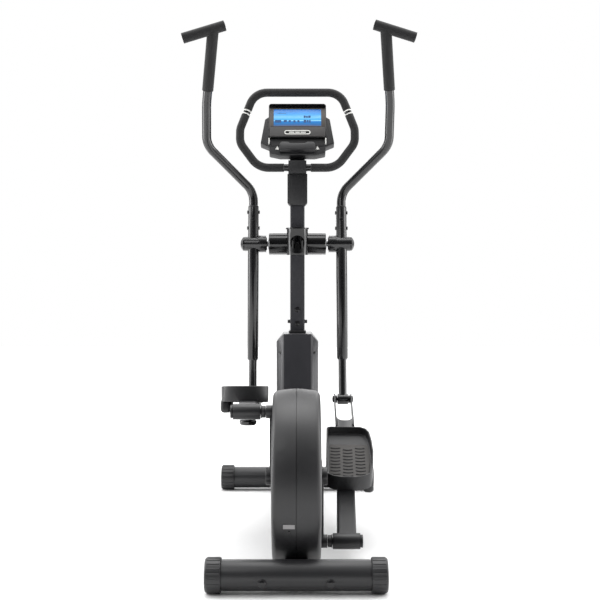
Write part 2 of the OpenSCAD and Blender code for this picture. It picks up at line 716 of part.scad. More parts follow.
// The tray's plan, its rear edge at y = 0 and its outer side at +X
pedal_start = 214;
pedal_inner = 82;
pedal_tip = 2.8;
pedal_l = 322;
half_w = 65;
deck_z = 18;
tray_h = 45;
tray_depth = 24;
tray_plan = [
  [-half_w, 30], [-half_w + 4, 22], [-42, 7], [-20, 1], [20, 1], [42, 7], [half_w - 4, 20],
  [half_w + 2, 28], [half_w + 9, 90], [half_w + 12, 160], [half_w + 9, 235], [half_w + 3, 288],
  [half_w - 6, 310], [half_w - 24, pedal_l], [14 - half_w, pedal_l], [4 - half_w, pedal_l - 3],
  [-half_w, pedal_l - 12]
];
module pedal_plan(shrink) polygon([for (p = tray_plan) [
  p[0] - sign(p[0]) * shrink, p[1] + (p[1] < pedal_l / 2 ? shrink : -shrink)
]]);
module at_pedal(s) at_bar(s) translate([pedal_inner + half_w, pedal_start, deck_z])
  rotate([-pedal_tip, 0, -skew]) children();
module pedal(s) color(foam) difference() {
  at_pedal(s) difference() {
    linear_extrude(tray_h) pedal_plan(0);
    translate([0, 0, tray_h - tray_depth]) linear_extrude(tray_depth + 1) pedal_plan(5);
    translate([0, 0, -1]) linear_extrude(tray_h - tray_depth - 3) pedal_plan(5);
  }
  at_bar(s) translate([bar_x, 4, 0]) rotate([0, 0, -skew])
    rounded_bar(fork_in + 1.2, 41.2, crotch, 8.6);
}
// Wedge between the bar and the pedal's floor, in the frame of the bar
module pedal_bracket(s) color(foam) at_bar(s) plate_x(bar_x - 12, bar_x + 24)
  polygon([[240, 20], [470, 20], [470, 25], [240, 34.5]]);
module pedal_left() {
  pedal(-1);
  pedal_bracket(-1);
}
module pedal_right() {
  pedal(1);
  pedal_bracket(1);
}

rear_stabilizer();
front_stabilizer();
main_rail();
drive_uprights();
post_stub();
post();
frame_bolts();
casing_left();
casing_right();
casing_screws();
hub_covers();
shroud_left();
shroud_right();
shroud_panel();
crank_bearings();
pivot_axle();
pivot_covers();
post_sleeve();
handlebar_clamp();
handlebar_loop();
loop_foam();
console_neck();
console_shell();
console_bezel();
console_screen();
tablet_ledge();
bottle_cage();
brake_magnets();
tension_motor();
drive_belt();
front_caps();
wheel_axles();
rear_cap_left();
rear_cap_right();
wheel_left();
wheel_right();
crank_axle();
crank_arm_left();
crank_arm_right();
drive_pulley();
flywheel();
arm_left();
arm_right();
arm_bushes_left();
arm_bushes_right();
arm_bolts_left();
arm_bolts_right();
handle_left();
handle_right();
handle_grip_left();
handle_grip_right();
bar_left();
bar_right();
pedal_left();
pedal_right();
rear_pivot_left();
rear_pivot_right();
knuckle_pivot_left();
knuckle_pivot_right();
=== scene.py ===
# Elliptical trainer: the finished pieces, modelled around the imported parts.
# Metres, +X is the rider's right, +Y is forward, +Z is up and z = 0 is the floor.

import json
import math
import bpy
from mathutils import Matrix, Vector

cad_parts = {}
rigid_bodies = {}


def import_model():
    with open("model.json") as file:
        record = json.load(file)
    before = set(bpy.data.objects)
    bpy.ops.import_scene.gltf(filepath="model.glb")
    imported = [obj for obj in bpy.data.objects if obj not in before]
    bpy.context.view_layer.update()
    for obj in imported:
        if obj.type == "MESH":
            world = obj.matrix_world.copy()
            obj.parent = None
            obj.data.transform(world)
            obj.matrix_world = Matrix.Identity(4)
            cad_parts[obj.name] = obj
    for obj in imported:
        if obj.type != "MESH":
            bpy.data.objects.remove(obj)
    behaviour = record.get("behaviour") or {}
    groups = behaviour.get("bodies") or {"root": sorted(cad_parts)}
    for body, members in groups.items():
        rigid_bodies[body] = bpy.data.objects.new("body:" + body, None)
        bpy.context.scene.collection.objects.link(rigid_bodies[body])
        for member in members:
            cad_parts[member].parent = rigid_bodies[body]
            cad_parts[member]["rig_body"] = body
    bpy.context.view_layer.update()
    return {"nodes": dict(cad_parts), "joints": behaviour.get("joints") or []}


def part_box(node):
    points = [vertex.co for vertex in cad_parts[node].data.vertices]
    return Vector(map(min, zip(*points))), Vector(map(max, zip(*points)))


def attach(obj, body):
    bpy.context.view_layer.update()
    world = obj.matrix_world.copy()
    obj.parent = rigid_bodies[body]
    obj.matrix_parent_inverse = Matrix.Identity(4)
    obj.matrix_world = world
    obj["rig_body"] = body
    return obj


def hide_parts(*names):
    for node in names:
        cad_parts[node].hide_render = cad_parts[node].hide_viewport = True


bl_info = {
    "name": "Elliptical Trainer",
    "version": (1, 0, 0),
    "blender": (4, 5, 0),
    "location": "3D View > Sidebar > Trainer",
    "description": "Models and finishes a rear-drive elliptical trainer piece by piece",
    "category": "Add Mesh",
}

import bmesh
import bpy
from bpy.props import FloatProperty, FloatVectorProperty, IntProperty, PointerProperty
from mathutils import Matrix, Vector

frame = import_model()
MM = 0.001
SIDES = {"left": -1, "right": 1}


def middle(node):
    """The middle of a node's box"""
    low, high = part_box(node)
    return (low + high) / 2


JOINTS = {joint["name"]: Vector(joint["pos_m"]) for joint in frame["joints"]}
CRANK = JOINTS["crank_spin"]
FLYWHEEL = JOINTS["flywheel_spin"]
ARM_PIVOT = JOINTS["left_arm_swing"]
KNUCKLES = {side: JOINTS[side + "_bar_pivot"] for side in SIDES}
CRANK_PINS = {side: Vector((0, *middle("rear_pivot_" + side).yz)) for side in SIDES}
ARM_X = middle("knuckle_pivot_right").x


def arm_place(side):
    """The arm's own frame: its pivot at the origin and the arm hanging down -Z"""
    reach = ARM_PIVOT - KNUCKLES[side]
    lean = math.atan2(reach.y, reach.z)
    return Matrix.Translation(ARM_PIVOT) @ Matrix.Rotation(-lean, 4, "X")


def bar_place(side):
    """The pedal bar's own frame: the crank pin at the origin and the bar along +Y"""
    reach = KNUCKLES[side] - CRANK_PINS[side]
    slope = math.atan2(reach.z, reach.y)
    return Matrix.Translation(CRANK_PINS[side]) @ Matrix.Rotation(slope, 4, "X")


def linear(code):
    """An sRGB hex colour as linear red, green, blue and alpha"""
    parts = [int(code[i:i + 2], 16) / 255 for i in (1, 3, 5)]
    return (*(c / 12.92 if c <= 0.04045 else ((c + 0.055) / 1.055) ** 2.4 for c in parts), 1.0)


# ---- Settings ----

def colour(name, description, code):
    """A colour setting, given as sRGB hex"""
    return FloatVectorProperty(
        name=name, description=description, size=4, min=0, max=1, subtype="COLOR",
        default=linear(code))


def length(name, description, default):
    """A length setting in metres"""
    return FloatProperty(
        name=name, description=description, default=default, min=0, unit="LENGTH", precision=4)


class StageSettings(bpy.types.PropertyGroup):
    floor_size: length("Floor size", "Width of the square floor", 16.0)
    camera_back: length("Camera distance", "From the rear stabilizer back to the camera", 2.593)
    camera_height: length("Camera height", "Height of the camera above the floor", 0.79)
    camera_side: length("Camera offset", "Camera's place to the right of the middle", 0.009)
    lens: FloatProperty(name="Lens", description="Focal length", default=63.0, unit="CAMERA")
    shift: FloatProperty(name="Shift", description="Vertical lens shift", default=-0.045)
    floor: colour("Floor", "Colour of the floor", "#f7f7f7")


class FinishSettings(bpy.types.PropertyGroup):
    powder: colour("Powder coat", "Tubes and rail", "#1f1f21")
    post: colour("Post coat", "Square post", "#2a2a2f")
    enamel: colour("Gloss enamel", "Arms and handles", "#101012")
    casing: colour("Casing ABS", "Casing, caps and covers", "#1c1c1e")
    silver: colour("Silver ABS", "Sides of the shroud", "#4e4e50")
    gloss: colour("Gloss ABS", "Bottle holder and console front", "#08080a")
    foam: colour("Foam", "Closed cell foam", "#171718")
    zinc: colour("Zinc plate", "Axles and washers", "#b4b6b8")
    oxide: colour("Black oxide", "Bolt heads", "#121214")
    rubber: colour("Rubber", "Belt and wheels", "#121214")
    tread: colour("Tread pad", "Pad on the pedals", "#3a3735")
    iron: colour("Cast iron", "Flywheel", "#4a4a4c")
    ring: colour("Ring paint", "Pale rings and the badge", "#e4e4e0")
    panel: colour("Panel ABS", "Panel under the display", "#363434")
    frame: colour("Display frame", "Frame round the display", "#4a4541")
    label: colour("Label", "Label plate on the casing", "#8d8b8c")


class BaseSettings(bpy.types.PropertyGroup):
    ribs: IntProperty(name="Ribs", description="Ribs round an end cap", default=20, min=8)
    rib_d: length("Rib width", "Width of a rib", 5.5 * MM)
    edge: length("Edge", "Rounding of sheet metal edges", 1.2 * MM)


class CasingSettings(bpy.types.PropertyGroup):
    crown: length("Crown", "Fall of the rim from the seam to the side", 5 * MM)
    fillet: length("Fillet", "Rounding between the rim and the side", 17 * MM)
    seam: length("Seam", "Half the width of the seam", 0.9 * MM)
    groove: length("Groove", "Depth of the seam", 2 * MM)
    wall: length("Wall", "Thickness of the shell", 3 * MM)


class HandlebarSettings(bpy.types.PropertyGroup):
    tube_r: length("Tube radius", "Radius of the handlebar tube", 12.5 * MM)
    foam_r: length("Foam radius", "Radius over the foam", 14.5 * MM)
    waist: length("Waist", "Height of the lower corner above the bar", 88 * MM)
    shoulder: length("Shoulder", "Height of the upper corner above the bar", 138 * MM)
    stripe: length("Stripe", "Height of the pale rings above the bar", 189 * MM)
    ring_w: length("Ring width", "Width of a pale ring", 4 * MM)
    top_bend: length("Top bend", "Radius of the upper corners", 62 * MM)


class ArmSettings(bpy.types.PropertyGroup):
    handle_r: length("Handle radius", "Radius of the upper handle's tube", 15.9 * MM)
    foam_r: length("Foam radius", "Radius over the foam of the handle", 19 * MM)
    tee_r: length("T bar radius", "Radius over the foam of the T bar", 17.5 * MM)
    lean: FloatProperty(
        name="Lean", description="Lean of the handle behind the arm", subtype="ANGLE",
        default=math.radians(34.5))
    turn: FloatProperty(
        name="Turn", description="Turn of the handle in its socket", subtype="ANGLE",
        default=math.radians(1.8))


class ConsoleSettings(bpy.types.PropertyGroup):
    lean: FloatProperty(
        name="Lean", description="Lean of the console's face", subtype="ANGLE",
        default=math.radians(25))
    thickness: length("Thickness", "Thickness of the console's shell", 34 * MM)
    rounding: length("Rounding", "Rounding of the console's edges", 4 * MM)


class PedalSettings(bpy.types.PropertyGroup):
    rows: IntProperty(name="Rows", description="Rows of waves on the tread", default=10, min=4)
    length: length("Length", "Length of the tray", 322 * MM)
    pad: length("Pad", "Length of the tread pad", 240 * MM)
    wall: length("Wall", "Thickness of the tray's wall", 5 * MM)
    tip: FloatProperty(
        name="Tip", description="Tip of the pedal on its bar, front down", subtype="ANGLE",
        default=math.radians(2.8))
    skew: FloatProperty(
        name="Skew", description="Turn of the bar away from straight ahead", subtype="ANGLE",
        default=math.radians(1.752))


# ---- Modelling ----

def choose(*pieces):
    """Selects these objects and no others, the first one active"""
    bpy.ops.object.select_all(action="DESELECT")
    for piece in pieces:
        piece.select_set(True)
    bpy.context.view_layer.objects.active = pieces[0]


def edit(piece):
    """Starts editing a piece"""
    choose(piece)
    bpy.ops.object.mode_set(mode="EDIT")
    bpy.ops.mesh.select_mode(type="VERT")


def done():
    """Ends editing"""
    bpy.ops.object.mode_set(mode="OBJECT")


def pick(piece, kind, test):
    """Selects the faces, edges or vertices that pass a test"""
    bpy.ops.mesh.select_mode(type=kind)
    bpy.ops.mesh.select_all(action="DESELECT")
    mesh = bmesh.from_edit_mesh(piece.data)
    items = {"FACE": mesh.faces, "EDGE": mesh.edges, "VERT": mesh.verts}[kind]
    for item in items:
        item.select_set(test(item))
    mesh.select_flush_mode()
    bmesh.update_edit_mesh(piece.data)


def modify(piece, kind, **settings):
    """Adds a modifier and applies it"""
    choose(piece)
    modifier = piece.modifiers.new(kind, kind)
    for name, value in settings.items():
        setattr(modifier, name, value)
    bpy.ops.object.modifier_apply(modifier=modifier.name)


def round_edges(piece, width, segments=3, sharper_than=32):
    """Rounds every edge that is sharper than an angle in degrees"""
    modify(piece, "BEVEL", width=width, segments=segments, limit_method="ANGLE",
           angle_limit=math.radians(sharper_than), harden_normals=False)


def put(piece, place):
    """Moves a piece by a matrix, with the move kept in its mesh"""
    choose(piece)
    piece.matrix_world = place
    bpy.ops.object.transform_apply(location=True, rotation=True, scale=True)
    return piece


def joined(*pieces):
    """Several pieces as one"""
    choose(*pieces)
    if len(pieces) > 1:
        bpy.ops.object.join()
    return bpy.context.object


def repeated(piece, places):
    """Copies of a piece, one at each place, as one piece"""
    copies = []
    for place in places:
        copy = piece.copy()
        copy.data = piece.data.copy()
        bpy.context.collection.objects.link(copy)
        copy.data.transform(place)
        copies.append(copy)
    bpy.data.objects.remove(piece)
    return joined(*copies)


def block(low, high, rounding=0.0, upright=0.0, segments=3):
    """A box between two corners; its upright edges may have a larger rounding of their own"""
    low, high = Vector(low), Vector(high)
    bpy.ops.object.select_all(action="DESELECT")
    bpy.ops.mesh.primitive_cube_add(size=1, location=(low + high) / 2)
    piece = bpy.context.object
    piece.scale = high - low
    bpy.ops.object.transform_apply(location=True, rotation=True, scale=True)
    if upright:
        edit(piece)
        pick(piece, "EDGE", lambda e: abs((e.verts[0].co - e.verts[1].co).z) > MM)
        bpy.ops.mesh.bevel(offset=upright, segments=10, affect="EDGES")
        done()
    if rounding:
        round_edges(piece, rounding, segments)
    return piece


def plate(x, y, z, rounding=0, corners=0):
    """A block between three ranges in millimetres, with rounded edges and upright corners"""
    low, high = zip(x, y, z)
    return block([side * MM for side in low], [side * MM for side in high], rounding * MM,
                 upright=corners * MM)


def chain(points):
    """A chain of edges through points, left in edit mode"""
    bpy.ops.object.select_all(action="DESELECT")
    bpy.ops.mesh.primitive_plane_add(size=MM)
    piece = bpy.context.object
    edit(piece)
    bpy.ops.mesh.select_all(action="SELECT")
    bpy.ops.mesh.merge(type="CENTER")
    bpy.ops.transform.translate(value=points[0])
    for here, there in zip(points, points[1:]):
        bpy.ops.mesh.extrude_region_move(TRANSFORM_OT_translate={"value": there - here})
    bpy.ops.mesh.select_all(action="SELECT")
    return piece


def turned(profile, rounding=0.0, steps=48, upright=False, segments=3):
    """A piece turned about X, or about Z if upright, from pairs of place and radius"""
    points = [Vector((r, 0, t)) if upright else Vector((t, 0, r)) for t, r in profile]
    piece = chain(points)
    axis = (0, 0, 1) if upright else (1, 0, 0)
    bpy.ops.mesh.spin(steps=steps, angle=math.tau, center=(0, 0, 0), axis=axis)
    bpy.ops.mesh.select_all(action="SELECT")
    bpy.ops.mesh.remove_doubles(threshold=0.002 * MM)
    bpy.ops.mesh.normals_make_consistent(inside=False)
    done()
    if rounding:
        round_edges(piece, rounding, segments)
    return piece


def slab(outline, low, high, rounding=0.0, segments=3):
    """A plate with an outline in X and Y, between two heights"""
    points = [Vector((x, y, low)) for x, y in outline]
    piece = chain(points)
    bpy.ops.mesh.edge_face_add()
    bpy.ops.mesh.extrude_region_move(
        TRANSFORM_OT_translate={"value": Vector((0, 0, high - low))})
    bpy.ops.mesh.select_all(action="SELECT")
    bpy.ops.mesh.normals_make_consistent(inside=False)
    done()
    if rounding:
        round_edges(piece, rounding, segments)
    return piece


def bends(points, radii, steps=10):
    """The points of a bent tube's centre line, with each inner corner rounded to an arc"""
    path = [points[0]]
    for before, corner, after, radius in zip(points, points[1:], points[2:], radii):
        come, go = (corner - before).normalized(), (after - corner).normalized()
        angle = come.angle(go)
        inward = (go - go.dot(come) * come).normalized()
        centre = corner - come * radius * math.tan(angle / 2) + inward * radius
        for i in range(steps + 1):
            turn = angle * i / steps
            path.append(centre + radius * (math.sin(turn) * come - math.cos(turn) * inward))
    return path + [points[-1]]


def tube(path, radius, resolution=7):
    """A round bar along a path, closed at its ends"""
    bpy.ops.object.select_all(action="DESELECT")
    bpy.ops.curve.primitive_nurbs_path_add()
    piece = bpy.context.object
    curve = piece.data
    curve.splines.clear()
    spline = curve.splines.new("POLY")
    spline.points.add(len(path) - 1)
    for point, place in zip(spline.points, path):
        point.co = (*place, 1)
    curve.dimensions = "3D"
    curve.bevel_depth = radius
    curve.bevel_resolution = resolution
    curve.use_fill_caps = True
    bpy.ops.object.convert(target="MESH")
    edit(piece)
    bpy.ops.mesh.select_all(action="SELECT")
    bpy.ops.mesh.remove_doubles(threshold=0.002 * MM)
    bpy.ops.mesh.normals_make_consistent(inside=False)
    done()
    return piece


def along(start, end):
    """Where a piece modelled along +X from the origin lies along the line from start to end"""
    line = end - start
    return Matrix.Translation(start) @ line.to_track_quat("X", "Z").to_matrix().to_4x4()


def dress(piece, name, finish, body, stands_for=(), place=None, sharp=35):
    """Finishes a piece: its place, smooth shading, material and body"""
    if place is not None:
        put(piece, place)
    choose(piece)
    bpy.ops.object.shade_smooth_by_angle(angle=math.radians(sharp))
    piece.name = name
    piece.data.name = name
    piece.data.materials.clear()
    piece.data.materials.append(material(finish))
    if stands_for:
        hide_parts(*stands_for)
    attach(piece, body)
    return piece


def softened(node, finish, rounding=1.2 * MM, segments=2):
    """A node's shape again with its edges rounded, standing for the node"""
    source = frame["nodes"][node]
    piece = bpy.data.objects.new(node + "_piece", source.data.copy())
    bpy.context.collection.objects.link(piece)
    edit(piece)
    bpy.ops.mesh.select_all(action="SELECT")
    bpy.ops.mesh.remove_doubles(threshold=0.005 * MM)
    bpy.ops.mesh.dissolve_limited(angle_limit=math.radians(0.5))
    done()
    round_edges(piece, rounding, segments)
    return dress(piece, node + "_piece", finish, source["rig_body"], (node,))


def paint(node, finish):
    """Gives a node that keeps its shape a finish"""
    materials = frame["nodes"][node].data.materials
    materials.clear()
    materials.append(material(finish))


# ---- Finishes ----

def add_node(tree, kind, settings=None, links=None):
    """Adds a node: settings are its sockets' values or its own, links are socket: source"""
    node = tree.nodes.new(kind)
    for name, value in (settings or {}).items():
        if isinstance(name, int) or name in node.inputs:
            node.inputs[name].default_value = value
        else:
            setattr(node, name, value)
    for name, source in (links or {}).items():
        tree.links.new(source, node.inputs[name])
    return node


def shaded(code, factor):
    """A linear colour made lighter or darker"""
    return (*(min(1.0, c * factor) for c in code[:3]), 1.0)


def coated(name, base, roughness, grain, bump, spread=0.06, mottle=0.12, shader=None,
           stretch=(1, 1, 1)):
    """A surface with a fine grain of a size in millimetres, and slow changes in tone"""
    made = bpy.data.materials.new(name)
    made.use_nodes = True
    tree = made.node_tree
    tree.nodes.clear()
    coords = add_node(tree, "ShaderNodeTexCoord")
    spot = add_node(tree, "ShaderNodeMapping", {"Scale": stretch},
                    {"Vector": coords.outputs["Object"]})
    cloud = add_node(tree, "ShaderNodeTexNoise", {"Scale": 9.0, "Detail": 3.0},
                     {"Vector": coords.outputs["Object"]})
    tone = add_node(tree, "ShaderNodeValToRGB", {}, {"Fac": cloud.outputs["Fac"]})
    tone.color_ramp.elements[0].position = 0.3
    tone.color_ramp.elements[0].color = shaded(base, 1 - mottle)
    tone.color_ramp.elements[1].position = 0.7
    tone.color_ramp.elements[1].color = shaded(base, 1 + mottle)
    fine = add_node(tree, "ShaderNodeTexNoise",
                    {"Scale": 1 / (grain * MM), "Detail": 2.0, "Roughness": 0.6},
                    {"Vector": spot.outputs["Vector"]})
    gloss = add_node(tree, "ShaderNodeMapRange",
                     {"To Min": roughness - spread, "To Max": roughness + spread},
                     {"Value": fine.outputs["Fac"]})
    raised = add_node(tree, "ShaderNodeBump", {"Strength": bump, "Distance": 0.2 * MM},
                      {"Height": fine.outputs["Fac"]})
    links = {"Base Color": tone.outputs["Color"], "Roughness": gloss.outputs["Result"],
             "Normal": raised.outputs["Normal"]}
    principled = add_node(tree, "ShaderNodeBsdfPrincipled", shader or {}, links)
    add_node(tree, "ShaderNodeOutputMaterial", {}, {"Surface": principled.outputs["BSDF"]})
    return made


def powder_coat(name, colours):
    """Sprayed and baked powder on steel tube: an even satin skin with a fine orange peel"""
    return coated(name, colours.powder, 0.38, 1.6, 0.25, shader={"IOR": 1.5})


def textured_coat(name, colours):
    """Wrinkle powder on the post: a coarser grit that scatters the light"""
    return coated(name, colours.post, 0.48, 1.2, 0.5, shader={"IOR": 1.5})


def gloss_enamel(name, colours):
    """Wet-look stove enamel on bent tube: deep black with long clean highlights"""
    return coated(name, colours.enamel, 0.2, 5.0, 0.04, spread=0.03,
                  shader={"IOR": 1.5, "Coat Weight": 0.5, "Coat Roughness": 0.08})


def grained_abs(name, colours):
    """Injection moulded ABS from a spark-eroded mould: a low, dull leathery grain"""
    return coated(name, colours.casing, 0.42, 1.4, 0.3, shader={"IOR": 1.54})


def panel_abs(name, colours):
    """Moulded ABS from a bead-blasted mould: soft dark grey"""
    return coated(name, colours.panel, 0.5, 1.2, 0.2, mottle=0.05, shader={"IOR": 1.54})


def frame_abs(name, colours):
    """Warm grey print behind the clear lens of the display"""
    return coated(name, colours.frame, 0.3, 2.5, 0.03, mottle=0.04, shader={"IOR": 1.5})


def label_foil(name, colours):
    """Brushed grey foil of the label plate"""
    return coated(name, colours.label, 0.4, 0.8, 0.1, mottle=0.05, shader={"IOR": 1.5},
                  stretch=(0.2, 1, 4))


def silver_abs(name, colours):
    """Moulded ABS with aluminium flake: pale satin grey with a soft sparkle"""
    return coated(name, colours.silver, 0.4, 0.9, 0.15, mottle=0.05,
                  shader={"IOR": 1.54, "Metallic": 0.25})


def gloss_abs(name, colours):
    """ABS from a polished mould: piano black with sharp reflections"""
    return coated(name, colours.gloss, 0.12, 6.0, 0.03, spread=0.02,
                  shader={"IOR": 1.54, "Coat Weight": 0.3, "Coat Roughness": 0.05})


def cell_foam(name, colours):
    """Extruded closed cell foam: matte, with open pores drawn at 2 mm so that they show"""
    return coated(name, colours.foam, 0.78, 2.0, 0.8, mottle=0.2,
                  shader={"IOR": 1.45, "Sheen Weight": 0.15, "Sheen Roughness": 0.5})


def zinc_plate(name, colours):
    """Bright zinc on turned steel: fine rings round the axis"""
    return coated(name, colours.zinc, 0.28, 0.8, 0.15, shader={"Metallic": 1.0},
                  stretch=(6, 1, 1))


def black_oxide(name, colours):
    """Blackened bolts: dark and oily, with a metal glint on the domes"""
    return coated(name, colours.oxide, 0.24, 1.5, 0.1, shader={"IOR": 1.5})


def moulded_rubber(name, colours):
    """Moulded rubber: dull, with a dusty bloom. Its dark colour is also used as painted shade: on
    the plate in the console's recess and on the ribs of the tread
    """
    return coated(name, colours.rubber, 0.62, 1.8, 0.4, mottle=0.2, shader={"IOR": 1.52})


def tread_rubber(name, colours):
    """Soft thermoplastic rubber of the tread: grey where shoes have scuffed it"""
    return coated(name, colours.tread, 0.6, 2.2, 0.5, mottle=0.25, shader={"IOR": 1.5})


def turned_iron(name, colours):
    """Cast iron with a turned rim: dark grey with tool marks round it"""
    return coated(name, colours.iron, 0.42, 1.2, 0.4, shader={"Metallic": 0.85},
                  stretch=(5, 1, 1))


def segment_ink(name, colours):
    """Dark blue crystal of the display's switched-on bars"""
    return coated(name, linear("#1d4f86"), 0.3, 3.0, 0.02, mottle=0.1, shader={"IOR": 1.5})


def ring_paint(name, colours):
    """Pale printed vinyl of the rings, labels and badge"""
    return coated(name, colours.ring, 0.45, 3.0, 0.05, mottle=0.03, shader={"IOR": 1.5})


def lit_display(name, colours):
    """Backlit liquid crystal under a clear lens: blue, brighter in a band near its middle"""
    made = bpy.data.materials.new(name)
    made.use_nodes = True
    tree = made.node_tree
    tree.nodes.clear()
    low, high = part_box("console_screen")
    coords = add_node(tree, "ShaderNodeTexCoord")
    parts = add_node(tree, "ShaderNodeSeparateXYZ", {}, {"Vector": coords.outputs["Object"]})
    height = add_node(tree, "ShaderNodeMapRange", {"From Min": low.z, "From Max": high.z},
                      {"Value": parts.outputs["Z"]})
    cloud = add_node(tree, "ShaderNodeTexNoise", {"Scale": 22.0, "Detail": 1.0},
                     {"Vector": coords.outputs["Object"]})
    drift = add_node(tree, "ShaderNodeMath",
                     {"operation": "MULTIPLY_ADD", 1: 0.1, 2: -0.05},
                     {0: cloud.outputs["Fac"]})
    place = add_node(tree, "ShaderNodeMath", {"operation": "ADD"},
                     {0: height.outputs["Result"], 1: drift.outputs["Value"]})
    glow = add_node(tree, "ShaderNodeValToRGB", {}, {"Fac": place.outputs["Value"]})
    stops = [(0.0, "#5a4e4b"), (0.12, "#55607a"), (0.2, "#35659c"), (0.38, "#2277bd"),
             (0.42, "#9bd2f0"), (0.46, "#3f9bd8"), (0.6, "#6db4e0"), (0.75, "#2590da"),
             (1.0, "#0e66b5")]
    ramp = glow.color_ramp
    ramp.elements[0].position = stops[0][0]
    ramp.elements[1].position = stops[-1][0]
    for position, _ in stops[1:-1]:
        ramp.elements.new(position)
    for element, (_, code) in zip(ramp.elements, stops):
        element.color = linear(code)
    principled = add_node(
        tree, "ShaderNodeBsdfPrincipled",
        {"Roughness": 0.12, "IOR": 1.5, "Emission Strength": 0.45},
        {"Base Color": glow.outputs["Color"], "Emission Color": glow.outputs["Color"]})
    add_node(tree, "ShaderNodeOutputMaterial", {}, {"Surface": principled.outputs["BSDF"]})
    return made


FINISHES = {
    "powder_coat": ("painted_steel", powder_coat),
    "textured_coat": ("post_paint", textured_coat),
    "gloss_enamel": ("gloss_steel", gloss_enamel),
    "grained_abs": ("casing_plastic", grained_abs),
    "panel_abs": ("casing_plastic", panel_abs),
    "frame_abs": ("casing_plastic", frame_abs),
    "label_foil": ("silver_plastic", label_foil),
    "silver_abs": ("silver_plastic", silver_abs),
    "gloss_abs": ("gloss_plastic", gloss_abs),
    "cell_foam": ("foam", cell_foam),
    "zinc_plate": ("zinc_steel", zinc_plate),
    "black_oxide": ("zinc_steel", black_oxide),
    "moulded_rubber": ("rubber", moulded_rubber),
    "tread_rubber": ("rubber", tread_rubber),
    "turned_iron": ("cast_iron", turned_iron),
    "segment_ink": ("screen", segment_ink),
    "ring_paint": ("silver_plastic", ring_paint),
    "lit_display": ("screen", lit_display),
}


def material(finish):
    """The material of a finish, made when it is first used"""
    return bpy.data.materials.get(finish) or FINISHES[finish][1](
        finish, bpy.context.scene.trainer_finish)


# ---- Pieces ----

class TRAINER_OT_stage(bpy.types.Operator):
    """Make the camera, the pale floor and the soft lights"""
    bl_idname = "trainer.stage"
    bl_label = "Stage"

    def execute(self, context):
        settings = context.scene.trainer_stage
        rear = middle("rear_stabilizer").y
        bpy.ops.object.camera_add(
            location=(settings.camera_side, rear - settings.camera_back, settings.camera_height),
            rotation=(math.radians(90), 0, 0))
        camera = context.object
        camera.data.lens = settings.lens
        camera.data.sensor_width = 36
        camera.data.shift_y = settings.shift
        context.scene.camera = camera

        bpy.ops.object.select_all(action="DESELECT")
        bpy.ops.mesh.primitive_plane_add(size=settings.floor_size)
        floor = context.object
        floor.name = "floor"
        floor.data.materials.append(coated("floor_paint", settings.floor, 0.8, 40.0, 0.0,
                                           spread=0.02, mottle=0.01))

        world = bpy.data.worlds.new("studio")
        world.use_nodes = True
        context.scene.world = world
        tree = world.node_tree
        tree.nodes.clear()
        coords = add_node(tree, "ShaderNodeTexCoord")
        parts = add_node(tree, "ShaderNodeSeparateXYZ", {},
                         {"Vector": coords.outputs["Generated"]})
        across = add_node(tree, "ShaderNodeMath", {"operation": "POWER", 1: 4.0},
                          {0: parts.outputs["X"]})
        beside = add_node(tree, "ShaderNodeMath", {"operation": "MULTIPLY_ADD", 1: 1.4, 2: 0.05},
                          {0: across.outputs["Value"]})
        above = add_node(tree, "ShaderNodeMath", {"operation": "MAXIMUM", 1: 0.0},
                         {0: parts.outputs["Z"]})
        ahead = add_node(tree, "ShaderNodeMapRange",
                         {"From Min": -0.8, "From Max": 0.4, "To Min": 0.15, "To Max": 2.6},
                         {"Value": parts.outputs["Y"]})
        glow = add_node(tree, "ShaderNodeMath", {"operation": "MULTIPLY_ADD"},
                        {0: above.outputs["Value"], 1: ahead.outputs["Result"],
                         2: beside.outputs["Value"]})
        seen = add_node(tree, "ShaderNodeLightPath")
        strength = add_node(tree, "ShaderNodeMath", {"operation": "MAXIMUM"},
                            {0: glow.outputs["Value"], 1: seen.outputs["Is Camera Ray"]})
        sky = add_node(tree, "ShaderNodeBackground", {"Color": (1, 1, 1, 1)},
                       {"Strength": strength.outputs["Value"]})
        add_node(tree, "ShaderNodeOutputWorld", {}, {"Surface": sky.outputs["Background"]})
        context.scene.view_settings.view_transform = "Standard"

        lamps = [
            ("key", (-1.6, -2.6, 2.9), (1.2, 1.2), 12),
            ("top", (0.0, 0.2, 3.4), (2.4, 2.0), 34),
            ("left_strip", (-2.6, 0.3, 1.2), (0.7, 2.4), 30),
            ("right_strip", (2.6, 0.3, 1.2), (0.7, 2.4), 24),
            ("front", (0.0, 3.4, 1.6), (2.4, 1.8), 26),
        ]
        aim = Vector((0, 0, 0.8))
        for name, place, size, power in lamps:
            bpy.ops.object.light_add(type="AREA", location=place)
            lamp = context.object
            lamp.name = name
            lamp.rotation_euler = (aim - Vector(place)).to_track_quat("-Z", "Y").to_euler()
            lamp.data.shape = "RECTANGLE"
            lamp.data.size, lamp.data.size_y = size
            lamp.data.energy = power
        return {"FINISHED"}


